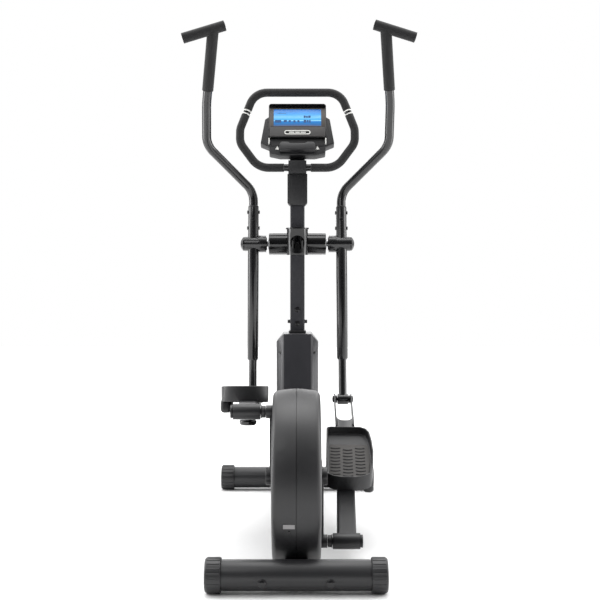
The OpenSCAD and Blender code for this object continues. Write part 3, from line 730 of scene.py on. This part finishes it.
def ribbed_cap(settings, side, outer, inner, name, body, node):
    """A round end cap with ribs, bored to fit over its tube, between two places along X"""
    tube_name = "rear_stabilizer" if "rear" in node else "front_stabilizer"
    centre = Vector((0, middle(tube_name).y, middle("rear_stabilizer").z))
    radius = centre.z - 1.5 * MM
    width = abs(outer - inner)
    floor = width - 6 * MM
    bore = radius - 4.2 * MM
    cap = turned([(floor, 0), (floor, bore), (0, bore), (0, radius), (width - 3.5 * MM, radius),
                  (width, radius - 3.5 * MM), (width, 0)], rounding=1.5 * MM)
    rib_r = settings.rib_d / 2
    rib = turned([(2 * MM, 0), (2 * MM, rib_r), (width - 5 * MM, rib_r), (width - 5 * MM, 0)],
                 rounding=1.2 * MM, steps=12, segments=2)
    reach = centre.z - rib_r - 0.2 * MM
    ribs = repeated(rib, [
        Matrix.Rotation(math.tau * i / settings.ribs, 4, "X") @ Matrix.Translation((0, 0, reach))
        for i in range(settings.ribs)])
    cap = joined(cap, ribs)
    turn = Matrix.Translation((inner, centre.y, centre.z))
    if side < 0:
        turn = turn @ Matrix.Rotation(math.pi, 4, "Z")
    return dress(cap, name, "grained_abs", body, place=turn)


class TRAINER_OT_base(bpy.types.Operator):
    """Make the stabilizers, rail, end caps, wheels and bolts"""
    bl_idname = "trainer.base"
    bl_label = "Base"

    def execute(self, context):
        settings = context.scene.trainer_base
        softened("rear_stabilizer", "powder_coat", settings.edge)
        softened("front_stabilizer", "powder_coat", settings.edge)
        softened("main_rail", "powder_coat", settings.edge)
        softened("frame_bolts", "black_oxide", 1.2 * MM)
        softened("wheel_axles", "zinc_plate", 0.8 * MM)
        for side, sign in SIDES.items():
            node = "rear_cap_" + side
            low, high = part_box(node)
            ends = (low.x, high.x) if sign < 0 else (high.x, low.x)
            cap = ribbed_cap(settings, sign, ends[0], ends[1], "rear_end_cap_" + side,
                             side + "_leveller", node)
            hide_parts(node)
            softened("wheel_" + side, "moulded_rubber", 2.5 * MM)
        softened("front_caps", "grained_abs", 0.8 * MM)
        return {"FINISHED"}


def casing_half(settings, side):
    """One half of the casing: an open shell with a crowned rim and a rounded shoulder"""
    low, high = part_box("casing_right")
    half = high.x
    rear_r = CRANK.z - low.z
    front = high.y
    nose_r = 150 * MM
    foot_r = 22 * MM
    foot_low, foot_high = 20 * MM, 290 * MM
    shoulder = half - settings.fillet
    rims = [(settings.seam, 0.0), (shoulder * 0.5, settings.crown * 0.35)]
    for i in range(7):
        turn = math.radians(15 * i)
        rims.append((shoulder + settings.fillet * math.sin(turn),
                     settings.crown + settings.fillet * (1 - math.cos(turn))))
    corners = [(CRANK.y, CRANK.z, rear_r, 128), (FLYWHEEL.y, FLYWHEEL.z, nose_r, 96)]
    corners += [(front - foot_r, z, foot_r, 32)
                for z in (foot_low + foot_r, foot_high - foot_r)]
    bpy.ops.object.select_all(action="DESELECT")
    bpy.ops.mesh.primitive_circle_add(vertices=8, radius=MM, location=(shoulder, *CRANK.yz),
                                      rotation=(0, math.pi / 2, 0))
    shell = bpy.context.object
    bpy.ops.object.transform_apply(location=True, rotation=True, scale=True)
    edit(shell)
    for x, shrink in rims:
        for y, z, radius, vertices in corners:
            bpy.ops.mesh.primitive_circle_add(
                vertices=vertices, radius=max(radius - shrink, 0.4 * MM), location=(x, y, z),
                rotation=(0, math.pi / 2, 0))
    bpy.ops.mesh.select_all(action="SELECT")
    bpy.ops.mesh.convex_hull()
    bpy.ops.mesh.select_all(action="SELECT")
    bpy.ops.mesh.remove_doubles(threshold=0.01 * MM)
    bpy.ops.mesh.dissolve_limited(angle_limit=math.radians(0.3))
    pick(shell, "FACE", lambda f: f.normal.x < -0.9)
    bpy.ops.mesh.inset(thickness=settings.groove, use_even_offset=True)
    bpy.ops.mesh.extrude_region_move(
        TRANSFORM_OT_translate={"value": Vector((0.2 * MM - settings.seam, 0, 0))})
    bpy.ops.mesh.delete(type="FACE")
    bpy.ops.mesh.select_all(action="SELECT")
    bpy.ops.mesh.normals_make_consistent(inside=False)
    done()
    modify(shell, "SOLIDIFY", thickness=settings.wall, offset=-1, use_even_offset=True)
    half_rail = 33 * MM
    cutter = block((-half_rail, low.y - 0.1, -0.1), (half_rail, high.y + 0.1, 64 * MM))
    modify(shell, "BOOLEAN", operation="DIFFERENCE", object=cutter, solver="EXACT")
    bpy.data.objects.remove(cutter)
    if SIDES[side] < 0:
        put(shell, Matrix.Rotation(math.pi, 4, "Y") @ Matrix.Diagonal((1, 1, -1, 1)))
        edit(shell)
        bpy.ops.mesh.select_all(action="SELECT")
        bpy.ops.mesh.flip_normals()
        done()
    return dress(shell, "casing_shell_" + side, "grained_abs", "root", ("casing_" + side,),
                 sharp=30)


def on_rim(x, height, lift=0.0):
    """A place on the casing's rear rim at a height, with +Z out of the rim and +Y up"""
    radius = CRANK.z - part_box("casing_right")[0].z
    angle = math.asin((CRANK.z - height) / radius)
    out = Vector((0, -math.cos(angle), -math.sin(angle)))
    spot = Vector((x, CRANK.y, CRANK.z)) + out * (radius + lift)
    return Matrix.Translation(spot) @ Matrix.Rotation(math.pi / 2 + angle, 4, "X")


class TRAINER_OT_casing(bpy.types.Operator):
    """Make the two halves of the casing, the hub covers, the label plate and the screws"""
    bl_idname = "trainer.casing"
    bl_label = "Casing"

    def execute(self, context):
        settings = context.scene.trainer_casing
        for side in SIDES:
            casing_half(settings, side)
        low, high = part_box("hub_covers")
        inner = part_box("casing_right")[1].x
        for side, sign in SIDES.items():
            reach = high.x - inner
            radius = (high.y - low.y) / 2
            cover = turned([(-1 * MM, 13 * MM), (-1 * MM, radius), (2.2 * MM, radius),
                            (2.8 * MM, radius - 4 * MM), (reach * 0.8, radius - 9 * MM),
                            (reach, 22 * MM), (reach, 13 * MM), (-1 * MM, 13 * MM)],
                           rounding=0.8 * MM, steps=64)
            place = Matrix.Translation((sign * inner, *CRANK.yz))
            if sign < 0:
                place = place @ Matrix.Rotation(math.pi, 4, "Z")
            dress(cover, "hub_cover_" + side, "gloss_abs", "root", ("hub_covers",), place)
        plate = block((-16 * MM, -6 * MM, -0.8 * MM), (16 * MM, 6 * MM, 0.7 * MM), 0.3 * MM,
                      upright=1.5 * MM)
        dress(plate, "label_plate", "label_foil", "root", place=on_rim(-17 * MM, 163 * MM, -1 * MM))
        softened("casing_screws", "black_oxide", 0.8 * MM)
        return {"FINISHED"}


class TRAINER_OT_shroud(bpy.types.Operator):
    """Make the shroud round the foot of the post"""
    bl_idname = "trainer.shroud"
    bl_label = "Shroud"

    def execute(self, context):
        for side in SIDES:
            softened("shroud_" + side, "silver_abs", 1.3 * MM, 3)
        softened("shroud_panel", "textured_coat", 1.2 * MM, 3)
        post = Vector((0, middle("post_sleeve").y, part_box("shroud_panel")[1].z))
        collar = block((-30 * MM, -30 * MM, -3 * MM), (30 * MM, 30 * MM, 9 * MM), 2.5 * MM,
                       upright=7 * MM)
        dress(collar, "shroud_collar", "grained_abs", "root",
              place=Matrix.Translation(post))
        return {"FINISHED"}


class TRAINER_OT_drive(bpy.types.Operator):
    """Finish the drive inside the casing: crank stand, pulley, belt, flywheel and brake"""
    bl_idname = "trainer.drive"
    bl_label = "Drive"

    def execute(self, context):
        softened("drive_uprights", "powder_coat", 0.8 * MM)
        softened("drive_pulley", "grained_abs", 0.6 * MM)
        softened("flywheel", "turned_iron", 1.5 * MM)
        softened("crank_axle", "zinc_plate", 1.0 * MM)
        softened("crank_bearings", "zinc_plate", 0.8 * MM)
        softened("tension_motor", "grained_abs", 3.0 * MM)
        paint("drive_belt", "moulded_rubber")
        softened("brake_magnets", "powder_coat", 0.8 * MM)
        return {"FINISHED"}


class TRAINER_OT_cranks(bpy.types.Operator):
    """Make the two crank arms with their pins' spacers"""
    bl_idname = "trainer.cranks"
    bl_label = "Cranks"

    def execute(self, context):
        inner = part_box("casing_right")[1].x + 1 * MM
        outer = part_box("crank_arm_right")[1].x
        for side, sign in SIDES.items():
            pin = (CRANK_PINS[side] - CRANK).z
            reach = abs(pin)
            bar = slab([(-20 * MM, 0), (20 * MM, 0), (15 * MM, reach), (-15 * MM, reach)],
                       inner, inner + 8 * MM, 1.5 * MM)
            hub = turned([(inner, 10 * MM), (inner, 23 * MM), (outer, 23 * MM), (outer, 10 * MM),
                          (inner, 10 * MM)], rounding=1.5 * MM)
            boss = turned([(inner, 0), (inner, 17.5 * MM), (outer, 17.5 * MM), (outer, 0)],
                          rounding=1 * MM)
            put(bar, Matrix(((0, 0, 1, 0), (1, 0, 0, 0), (0, 1, 0, 0), (0, 0, 0, 1))))
            put(boss, Matrix.Translation((0, 0, reach)))
            place = Matrix.Translation(CRANK) @ Matrix.Rotation(0 if pin > 0 else math.pi, 4, "X")
            if sign < 0:
                place = place @ Matrix.Rotation(math.pi, 4, "Z")
            dress(joined(bar, hub, boss), "crank_" + side, "powder_coat", "crank",
                  ("crank_arm_" + side,), place)
            softened("rear_pivot_" + side, "powder_coat", 0.4 * MM)
        return {"FINISHED"}


class TRAINER_OT_post(bpy.types.Operator):
    """Make the square post with its cross tube, the stub inside it and the sleeve on top"""
    bl_idname = "trainer.post"
    bl_label = "Post"

    def execute(self, context):
        low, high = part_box("post")
        centre_y = middle("post_sleeve").y
        half = 25 * MM
        column = block((-half, centre_y - half, low.z), (half, centre_y + half, high.z),
                       0.8 * MM, upright=5 * MM)
        cross = turned([(low.x, 10 * MM), (low.x, 28 * MM), (high.x, 28 * MM), (high.x, 10 * MM),
                        (low.x, 10 * MM)], rounding=1 * MM)
        put(cross, Matrix.Translation((0, *ARM_PIVOT.yz)))
        dress(joined(column, cross), "post_tube", "textured_coat", "root", ("post",))
        softened("post_stub", "powder_coat", 1.0 * MM)
        softened("post_sleeve", "grained_abs", 3.0 * MM, 3)
        softened("handlebar_clamp", "grained_abs", 3.0 * MM, 3)
        return {"FINISHED"}


class TRAINER_OT_pivot(bpy.types.Operator):
    """Make the covers and the axle of the arms' pivot"""
    bl_idname = "trainer.pivot"
    bl_label = "Pivot"

    def execute(self, context):
        low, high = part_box("pivot_covers")
        radius = (high.z - low.z) / 2
        inner = 25 * MM
        width = high.x - inner
        lines = [width - 12 * MM, width - 7 * MM]
        profile = [(0, 28 * MM), (0, radius)]
        for line in lines:
            end, sunk = line + 1.4 * MM, radius - 0.9 * MM
            profile += [(line, radius), (line, sunk), (end, sunk), (end, radius)]
        profile += [(width - 1.5 * MM, radius), (width, radius - 1.5 * MM), (width, 28 * MM),
                    (0, 28 * MM)]
        for side, sign in SIDES.items():
            cover = turned(profile, steps=64)
            place = Matrix.Translation((sign * inner, *ARM_PIVOT.yz))
            if sign < 0:
                place = place @ Matrix.Rotation(math.pi, 4, "Z")
            dress(cover, "pivot_cover_" + side, "gloss_abs", "root", ("pivot_covers",), place)
        softened("pivot_axle", "zinc_plate", 0.4 * MM)
        return {"FINISHED"}


class TRAINER_OT_bottle_holder(bpy.types.Operator):
    """Make the glossy bottle holder on the post"""
    bl_idname = "trainer.bottle_holder"
    bl_label = "Bottle holder"

    def execute(self, context):
        softened("bottle_cage", "gloss_abs", 1.0 * MM, 3)
        return {"FINISHED"}


class TRAINER_OT_handlebar(bpy.types.Operator):
    """Make the fixed handlebar loop, its foam and its pale rings"""
    bl_idname = "trainer.handlebar"
    bl_label = "Handlebar"

    def execute(self, context):
        settings = context.scene.trainer_handlebar
        low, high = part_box("handlebar_loop")
        radius = settings.tube_r
        bar_z, top_z = low.z + radius, high.z - radius
        bar_y, top_y = low.y + radius, high.y - radius
        half = high.x - radius
        slope = (top_y - bar_y) / (top_z - bar_z)

        def spot(x, rise):
            return Vector((x, bar_y + rise * slope, bar_z + rise))

        rise = top_z - bar_z
        bottom_half, top_half = half * 0.675, half * 0.75

        def diagonal(sign, height):
            share = (height - settings.shoulder) / (rise - settings.shoulder)
            return spot(sign * (half + (top_half - half) * share), height)

        radii = [70 * MM, 60 * MM, 60 * MM, settings.top_bend]
        sides = {}
        for side, sign in SIDES.items():
            sides[side] = [spot(sign * bottom_half, 0), spot(sign * half, settings.waist),
                           spot(sign * half, settings.shoulder)]
        loop = ([spot(0, 0)] + sides["right"] + [spot(top_half, rise), spot(-top_half, rise)]
                + sides["left"][::-1] + [spot(0, 0)])
        bar = tube(bends(loop, radii + radii[::-1]), radius)
        dress(bar, "handlebar_tube", "gloss_enamel", "root", ("handlebar_loop",))

        seam_x = 48 * MM
        gap = 14 * MM
        for side, sign in SIDES.items():
            points = [spot(sign * seam_x, 0)] + sides[side] + [diagonal(sign, settings.stripe)]
            grip = tube(bends(points, radii), settings.foam_r)
            round_edges(grip, 2 * MM, sharper_than=60)
            dress(grip, "side_foam_" + side, "cell_foam", "root", ("loop_foam",))
        points = [diagonal(-1, settings.stripe + gap), spot(-top_half, rise), spot(top_half, rise),
                  diagonal(1, settings.stripe + gap)]
        grip = tube(bends(points, [settings.top_bend] * 2), settings.foam_r)
        round_edges(grip, 2 * MM, sharper_than=60)
        dress(grip, "top_foam", "cell_foam", "root", ("loop_foam",))

        width = settings.ring_w
        outer = settings.foam_r + 0.4 * MM
        for side, sign in SIDES.items():
            ring = turned([(0, radius), (0, outer), (width, outer), (width, radius), (0, radius)],
                          rounding=0.6 * MM)
            upward = (diagonal(sign, 1) - diagonal(sign, 0)).normalized()
            start = diagonal(sign, settings.stripe)
            turn = upward.to_track_quat("X", "Z").to_matrix().to_4x4()
            rings = repeated(ring, [Matrix.Translation(start + upward * shift) @ turn
                                    for shift in (-1 * MM, gap - 2 * MM)])
            dress(rings, "pale_rings_" + side, "ring_paint", "root")
            seam = turned([(0, radius), (0, outer), (1.5 * MM, outer), (1.5 * MM, radius),
                           (0, radius)])
            place = along(spot(sign * (seam_x - 1.5 * MM), 0), spot(sign * seam_x, 0))
            dress(seam, "seam_ring_" + side, "silver_abs", "root", place=place)
        return {"FINISHED"}


class TRAINER_OT_console(bpy.types.Operator):
    """Make the console: shell, front, display, badge, a dark plate of painted shade in the recess,
    tablet ledge and neck
    """
    bl_idname = "trainer.console"
    bl_label = "Console"

    def execute(self, context):
        settings = context.scene.trainer_console
        low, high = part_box("console_shell")
        lean, foot_w = settings.lean, 2 * MM
        foot = Vector((0, low.y - foot_w * math.sin(lean),
                       low.z + settings.thickness * math.sin(lean) - foot_w * math.cos(lean)))
        face = Matrix.Translation(foot) @ Matrix.Rotation(math.pi / 2 - lean, 4, "X")

        head_half, head_top = 101, 206
        panel_y, frame_y, screen_y, recess_y = (69, 108), (108.5, 184), (111, 180), (37, 66)

        half = [(60, 2), (97, 11), (98, 36), (high.x / MM, 50), (114, 149), (head_half, 158),
                (head_half, 197), (92, head_top)]
        outline = [(x * MM, y * MM) for x, y in half + [(-x, y) for x, y in half[::-1]]]
        shell = slab(outline, -settings.thickness, 0, settings.rounding, 4)
        dress(shell, "console_body", "grained_abs", "root", ("console_shell",), face)

        front = plate((-head_half, head_half), (67, head_top), (-1, 12), 2.5, 10)
        dress(front, "console_front", "gloss_abs", "root", ("console_bezel",), face)
        panel = plate((-97, 97), panel_y, (11, 13.2), 0.8, 3)
        dress(panel, "console_panel", "panel_abs", "root", place=face)
        surround = plate((-97.5, 97.5), frame_y, (11, 12.6), 0.5, 3)
        dress(surround, "display_frame", "frame_abs", "root", place=face)
        screen = plate((-83, 83), screen_y, (11, 13), 0.3)
        dress(screen, "display", "lit_display", "root", ("console_screen",), face)

        marks = [(-79, -57, 125, 136), (-48, -37, 127, 136), (-31, -23, 127, 135),
                 (-14, -7, 126, 135), (0, 7, 127, 135), (22, 31, 125, 137), (33, 39, 126, 136),
                 (41, 46, 125, 137), (22, 29, 145, 154), (31, 36, 144, 153), (38, 46, 145, 154),
                 (-70, -40, 163, 164.5)]
        bars = [plate((left, right), (lower, upper), (12.9, 13.3))
                for left, right, lower, upper in marks]
        dress(joined(*bars), "display_segments", "segment_ink", "root", place=face)

        badge = plate((-45.5, 45.5), (76.5, 93.5), (12.5, 14.4), 0, 8.4)
        edit(badge)
        pick(badge, "FACE", lambda f: f.normal.z > 0.9)
        bpy.ops.mesh.inset(thickness=3.4 * MM)
        bpy.ops.mesh.extrude_region_move(
            TRANSFORM_OT_translate={"value": Vector((0, 0, -1 * MM))})
        done()
        round_edges(badge, 0.4 * MM, 2)
        dress(badge, "badge_rim", "ring_paint", "root", place=face)
        inlay = plate((-41.5, 41.5), (80.5, 89.5), (13, 13.9), 0, 4.3)
        dress(inlay, "badge_inlay", "gloss_abs", "root", place=face)
        dashes = joined(*[plate(dash, (83, 87), (13.6, 14.2))
                          for dash in ((-29, -11), (-8, 8), (11, 29))])
        dress(dashes, "badge_dashes", "ring_paint", "root", place=face)

        # A dark matte plate across the recess: its colour is partly the dark plastic there and
        # partly painted shade, standing in for the shadow in the recess
        recess = plate((-93, 93), recess_y, (-1, 2), 1, 3)
        dress(recess, "console_recess_shade", "moulded_rubber", "root", place=face)
        trims = joined(*[plate((x - 2, x + 2), (44, 66), (-1, 9), 0.8) for x in (-98.5, 98.5)])
        dress(trims, "recess_trims", "ring_paint", "root", place=face)

        ledge_half = [(62, 10), (62, 34), (56, 42), (34, 42), (26, 36)]
        ledge = [(x * MM, y * MM) for x, y in ledge_half]
        ledge += [(-x, y) for x, y in ledge[::-1]]
        holder = slab(ledge, -2 * MM, 24 * MM, 3.5 * MM, 4)
        dress(holder, "tablet_holder", "grained_abs", "root", ("tablet_ledge",), face)
        tips = []
        for sign in (-1, 1):
            corner = [(sign * 64, 22), (sign * 76, 24), (sign * 69, 36)]
            tips.append(slab([(x * MM, y * MM) for x, y in corner], -1 * MM, 3 * MM))
        dress(joined(*tips), "ledge_tips", "ring_paint", "root", place=face)
        softened("console_neck", "grained_abs", 4 * MM, 3)
        return {"FINISHED"}


class TRAINER_OT_arms(bpy.types.Operator):
    """Make the swinging arms with their pivot sleeves, caps and bolts"""
    bl_idname = "trainer.arms"
    bl_label = "Arms"

    def execute(self, context):
        sleeve_in, sleeve_out = 108 * MM, 185 * MM
        bore, bush, cap_r, cap_w = 10.1 * MM, 15 * MM, 24.5 * MM, 14 * MM
        dome = [(sleeve_out + cap_w * math.sin(math.radians(t)), cap_r * math.cos(math.radians(t)))
                for t in range(25, 90, 13)]
        for side, sign in SIDES.items():
            softened("arm_" + side, "gloss_enamel", 1.5 * MM, 3)
            softened("arm_bolts_" + side, "black_oxide", 1.2 * MM, 3)
            cap = turned([(sleeve_out + 2 * MM, 0), (sleeve_out + 2 * MM, 17 * MM),
                          (sleeve_out, 17 * MM), (sleeve_out, cap_r), (sleeve_out + 5 * MM, cap_r)]
                         + dome + [(sleeve_out + cap_w, 0)], rounding=0.6 * MM)
            rings = [turned([(x0, bore), (x0, r), (x1, r), (x1, bore), (x0, bore)])
                     for x0, x1, r in ((sleeve_in - 3 * MM, sleeve_in, 23 * MM),
                                       (sleeve_in, sleeve_in + 22 * MM, bush),
                                       (sleeve_out - 28 * MM, sleeve_out - 6 * MM, bush))]
            bushes = joined(cap, *rings)
            place = arm_place(side)
            if sign < 0:
                place = place @ Matrix.Rotation(math.pi, 4, "Z")
            dress(bushes, "sleeve_cap_" + side, "gloss_abs", side + "_arm",
                  ("arm_bushes_" + side,), place)
        return {"FINISHED"}


class TRAINER_OT_handles(bpy.types.Operator):
    """Make the upper handles: bent tubes, foam, T bars and their end plugs"""
    bl_idname = "trainer.handles"
    bl_label = "Handles"

    def execute(self, context):
        settings = context.scene.trainer_arm
        bend_z = 176 * MM

        def leaning(x, reach):
            return Vector((x * MM, -reach * MM * math.sin(settings.lean),
                           bend_z + reach * MM * math.cos(settings.lean)))

        points = [Vector((ARM_X, 0, 28 * MM)), Vector((ARM_X, 0, bend_z + 8 * MM)),
                  leaning(314, 183), leaning(311, 330), leaning(285, 572)]
        grip_start, tee = leaning(306, 378), leaning(283.6, 585)
        slant = math.radians(18)
        axis = Vector((math.cos(slant), 0, -math.sin(slant)))
        for side, sign in SIDES.items():
            mirror = Matrix.Diagonal((sign, 1, 1, 1))
            place = (arm_place(side) @ Matrix.Translation((sign * ARM_X, 0, 0))
                     @ Matrix.Rotation(settings.turn, 4, "Z")
                     @ Matrix.Translation((-sign * ARM_X, 0, 0)))
            route = [mirror @ p for p in bends(points, [70 * MM, 85 * MM, 500 * MM], 16)]
            bar = tube(route, settings.handle_r)
            core = tube([mirror @ (tee - axis * 36 * MM), mirror @ (tee + axis * 98 * MM)],
                        12.5 * MM)
            dress(joined(bar, core), "handle_tube_" + side, "gloss_enamel", side + "_arm",
                  ("handle_" + side,), place)
            stem = tube([mirror @ grip_start, mirror @ (tee - (tee - grip_start) * 0.02)],
                        settings.foam_r, 9)
            round_edges(stem, 3 * MM, sharper_than=60)
            cross = tube([mirror @ (tee - axis * 40 * MM), mirror @ (tee + axis * 104 * MM)],
                         settings.tee_r, 9)
            round_edges(cross, 4 * MM, sharper_than=60)
            foam = dress(joined(stem, cross), "handle_foam_" + side, "cell_foam", side + "_arm",
                         ("handle_grip_" + side,), place)
            plug = turned([(0, 0), (0, 14 * MM), (1.4 * MM, 14 * MM), (2.2 * MM, 11 * MM),
                           (2.2 * MM, 0)], rounding=0.4 * MM)
            ends = [(tee + axis * 103 * MM, tee + axis * 104 * MM),
                    (tee - axis * 39 * MM, tee - axis * 40 * MM)]
            plugs = repeated(plug, [along(mirror @ a, mirror @ b) for a, b in ends])
            dress(plugs, "handle_plugs_" + side, "gloss_abs", side + "_arm", place=place)
            collar = turned([(0, settings.handle_r - 0.2 * MM), (0, 18 * MM), (7 * MM, 18 * MM),
                             (9 * MM, settings.handle_r - 0.2 * MM),
                             (0, settings.handle_r - 0.2 * MM)], rounding=0.8 * MM)
            seat = along(Vector((sign * ARM_X, 0, 126 * MM)), Vector((sign * ARM_X, 0, 127 * MM)))
            dress(put(collar, seat), "socket_collar_" + side, "grained_abs", side + "_arm",
                  place=arm_place(side))
        return {"FINISHED"}


class TRAINER_OT_pedal_bars(bpy.types.Operator):
    """Make the pedal bars and the pins of their front forks"""
    bl_idname = "trainer.pedal_bars"
    bl_label = "Pedal bars"

    def execute(self, context):
        for side in SIDES:
            softened("bar_" + side, "powder_coat", 1.2 * MM, 3)
            softened("knuckle_pivot_" + side, "black_oxide", 1.0 * MM)
        return {"FINISHED"}


class TRAINER_OT_pedals(bpy.types.Operator):
    """Make the pedals: rounded trays on brackets, with a wave-patterned tread whose dark ribs are
    painted groove shade
    """
    bl_idname = "trainer.pedals"
    bl_label = "Pedals"

    def execute(self, context):
        settings = context.scene.trainer_pedal
        long, wall = settings.length, settings.wall
        half, height, depth = 65, 45 * MM, 24 * MM
        plan = [(-half, 30), (4 - half, 22), (-42, 7), (-20, 1), (20, 1), (42, 7),
                (half - 4, 20), (half + 2, 28), (half + 9, 90), (half + 12, 160),
                (half + 9, 235), (half + 3, 288), (half - 6, 310), (half - 24, long / MM),
                (14 - half, long / MM), (4 - half, long / MM - 3), (-half, long / MM - 12)]
        for side, sign in SIDES.items():
            body = side + "_bar"
            skewed = (bar_place(side) @ Matrix.Translation((sign * 134 * MM, 4 * MM, 0))
                      @ Matrix.Rotation(-sign * settings.skew, 4, "Z"))
            place = (bar_place(side)
                     @ Matrix.Translation((sign * 147 * MM, 214 * MM, 18 * MM))
                     @ Matrix.Rotation(-sign * settings.skew, 4, "Z")
                     @ Matrix.Rotation(-settings.tip, 4, "X"))
            tray = slab([(sign * x * MM, y * MM) for x, y in plan], 0, height)
            edit(tray)
            pick(tray, "FACE", lambda f: f.normal.z > 0.9)
            bpy.ops.mesh.inset(thickness=wall)
            bpy.ops.mesh.extrude_region_move(
                TRANSFORM_OT_translate={"value": Vector((0, 0, -depth))})
            pick(tray, "FACE", lambda f: f.normal.z < -0.9)
            bpy.ops.mesh.inset(thickness=wall)
            bpy.ops.mesh.extrude_region_move(
                TRANSFORM_OT_translate={"value": Vector((0, 0, height - depth - 4 * MM))})
            done()
            round_edges(tray, 2 * MM, 3, sharper_than=50)
            put(tray, place)
            bar = put(block((-26.6 * MM, 0, -20.6 * MM), (26.6 * MM, 0.62, 20.6 * MM)), skewed)
            modify(tray, "BOOLEAN", operation="DIFFERENCE", object=bar, solver="EXACT")
            bpy.data.objects.remove(bar)
            bracket = slab([(240 * MM, 20 * MM), (470 * MM, 20 * MM), (470 * MM, 25 * MM),
                            (240 * MM, 34.5 * MM)], -18 * MM, 18 * MM, 1 * MM)
            turn = Matrix(((0, 0, sign, sign * 140 * MM), (1, 0, 0, 0), (0, 1, 0, 0),
                           (0, 0, 0, 1)))
            put(bracket, bar_place(side) @ turn)
            edit(bracket)
            bpy.ops.mesh.select_all(action="SELECT")
            bpy.ops.mesh.normals_make_consistent(inside=False)
            done()
            dress(joined(tray, bracket), "pedal_tray_" + side, "grained_abs", body,
                  ("pedal_" + side,))

            near, far = sorted((sign * 44 * MM, sign * 75 * MM))
            flank = block((near, 42 * MM, -32 * MM), (far, 250 * MM, 8 * MM), 11 * MM, segments=5)
            dress(flank, "pedal_flank_" + side, "grained_abs", body, place=place)

            pad_end = settings.pad
            pad_half = [(half - 8, 30), (half - 2, 90), (half + 2, 150), (half - 1, 215),
                        (half - 4, pad_end / MM)]
            pad_plan = [(11 - half, pad_end / MM), (11 - half, 32), (-38, 14), (-18, 9), (18, 9),
                        (38, 14)] + pad_half
            pad = slab([(sign * x * MM, y * MM) for x, y in pad_plan], 20 * MM, 24 * MM, 1 * MM)
            dress(pad, "tread_pad_" + side, "tread_rubber", body, place=place)
            # The wave ribs are dark rubber on the paler pad: their dark colour is painted shade,
            # standing for the shadow in the tread's grooves
            pitch = (pad_end - 40 * MM) / settings.rows
            wave = [Vector((x * MM, -3.5 * MM * math.cos(math.radians(x * 6.4)), 0))
                    for x in range(-14, 15, 4)]
            rib = tube(wave, 2.8 * MM, 2)
            spots = []
            for column in (-1, 0, 1):
                for row in range(settings.rows):
                    stagger = 0 if column else -pitch / 2
                    spots.append(Matrix.Translation(
                        (column * 37 * MM, 36 * MM + stagger + row * pitch, 23.6 * MM)))
            dress(repeated(rib, spots), "tread_groove_shade_" + side, "moulded_rubber", body,
                  place=place)

            stem = turned([(-34 * MM, 0), (-34 * MM, 7 * MM), (-18 * MM, 7 * MM), (-18 * MM, 0)],
                          upright=True)
            washer = turned([(-33 * MM, 7 * MM), (-33 * MM, 22 * MM), (-31 * MM, 22 * MM),
                             (-31 * MM, 7 * MM), (-33 * MM, 7 * MM)], upright=True)
            knob = turned([(-49 * MM, 0), (-49 * MM, 18 * MM), (-45 * MM, 24 * MM),
                           (-36 * MM, 25 * MM), (-33 * MM, 20 * MM), (-33 * MM, 0)],
                          rounding=2 * MM, upright=True)
            seat = skewed @ Matrix.Translation((0, 200 * MM, 0))
            dress(joined(stem, washer), "knob_stem_" + side, "zinc_plate", body, place=seat)
            dress(knob, "pedal_knob_" + side, "gloss_abs", body, place=seat)
        return {"FINISHED"}


PIECES = [
    TRAINER_OT_stage, TRAINER_OT_base, TRAINER_OT_casing, TRAINER_OT_shroud, TRAINER_OT_drive,
    TRAINER_OT_cranks, TRAINER_OT_post, TRAINER_OT_pivot, TRAINER_OT_bottle_holder,
    TRAINER_OT_handlebar, TRAINER_OT_console, TRAINER_OT_arms, TRAINER_OT_handles,
    TRAINER_OT_pedal_bars, TRAINER_OT_pedals,
]
SETTINGS = {
    "trainer_stage": StageSettings,
    "trainer_finish": FinishSettings,
    "trainer_base": BaseSettings,
    "trainer_casing": CasingSettings,
    "trainer_handlebar": HandlebarSettings,
    "trainer_arm": ArmSettings,
    "trainer_console": ConsoleSettings,
    "trainer_pedal": PedalSettings,
}


class TRAINER_PT_sidebar(bpy.types.Panel):
    """Lists the settings and the pieces"""
    bl_idname = "TRAINER_PT_sidebar"
    bl_label = "Elliptical trainer"
    bl_space_type = "VIEW_3D"
    bl_region_type = "UI"
    bl_category = "Trainer"

    def draw(self, context):
        for name in SETTINGS:
            group = getattr(context.scene, name)
            box = self.layout.box()
            for setting in group.bl_rna.properties.keys():
                if setting not in ("rna_type", "name"):
                    box.prop(group, setting)
        for piece in PIECES:
            self.layout.operator(piece.bl_idname)


def register():
    for name, group in SETTINGS.items():
        bpy.utils.register_class(group)
        setattr(bpy.types.Scene, name, PointerProperty(type=group))
    for piece in PIECES:
        bpy.utils.register_class(piece)
    bpy.utils.register_class(TRAINER_PT_sidebar)


def unregister():
    bpy.utils.unregister_class(TRAINER_PT_sidebar)
    for piece in reversed(PIECES):
        bpy.utils.unregister_class(piece)
    for name, group in SETTINGS.items():
        delattr(bpy.types.Scene, name)
        bpy.utils.unregister_class(group)


def main():
    register()
    bpy.ops.object.select_all(action="DESELECT")
    for piece in PIECES:
        getattr(bpy.ops.trainer, piece.bl_idname.split(".")[1])()


if __name__ == "__main__":
    main()
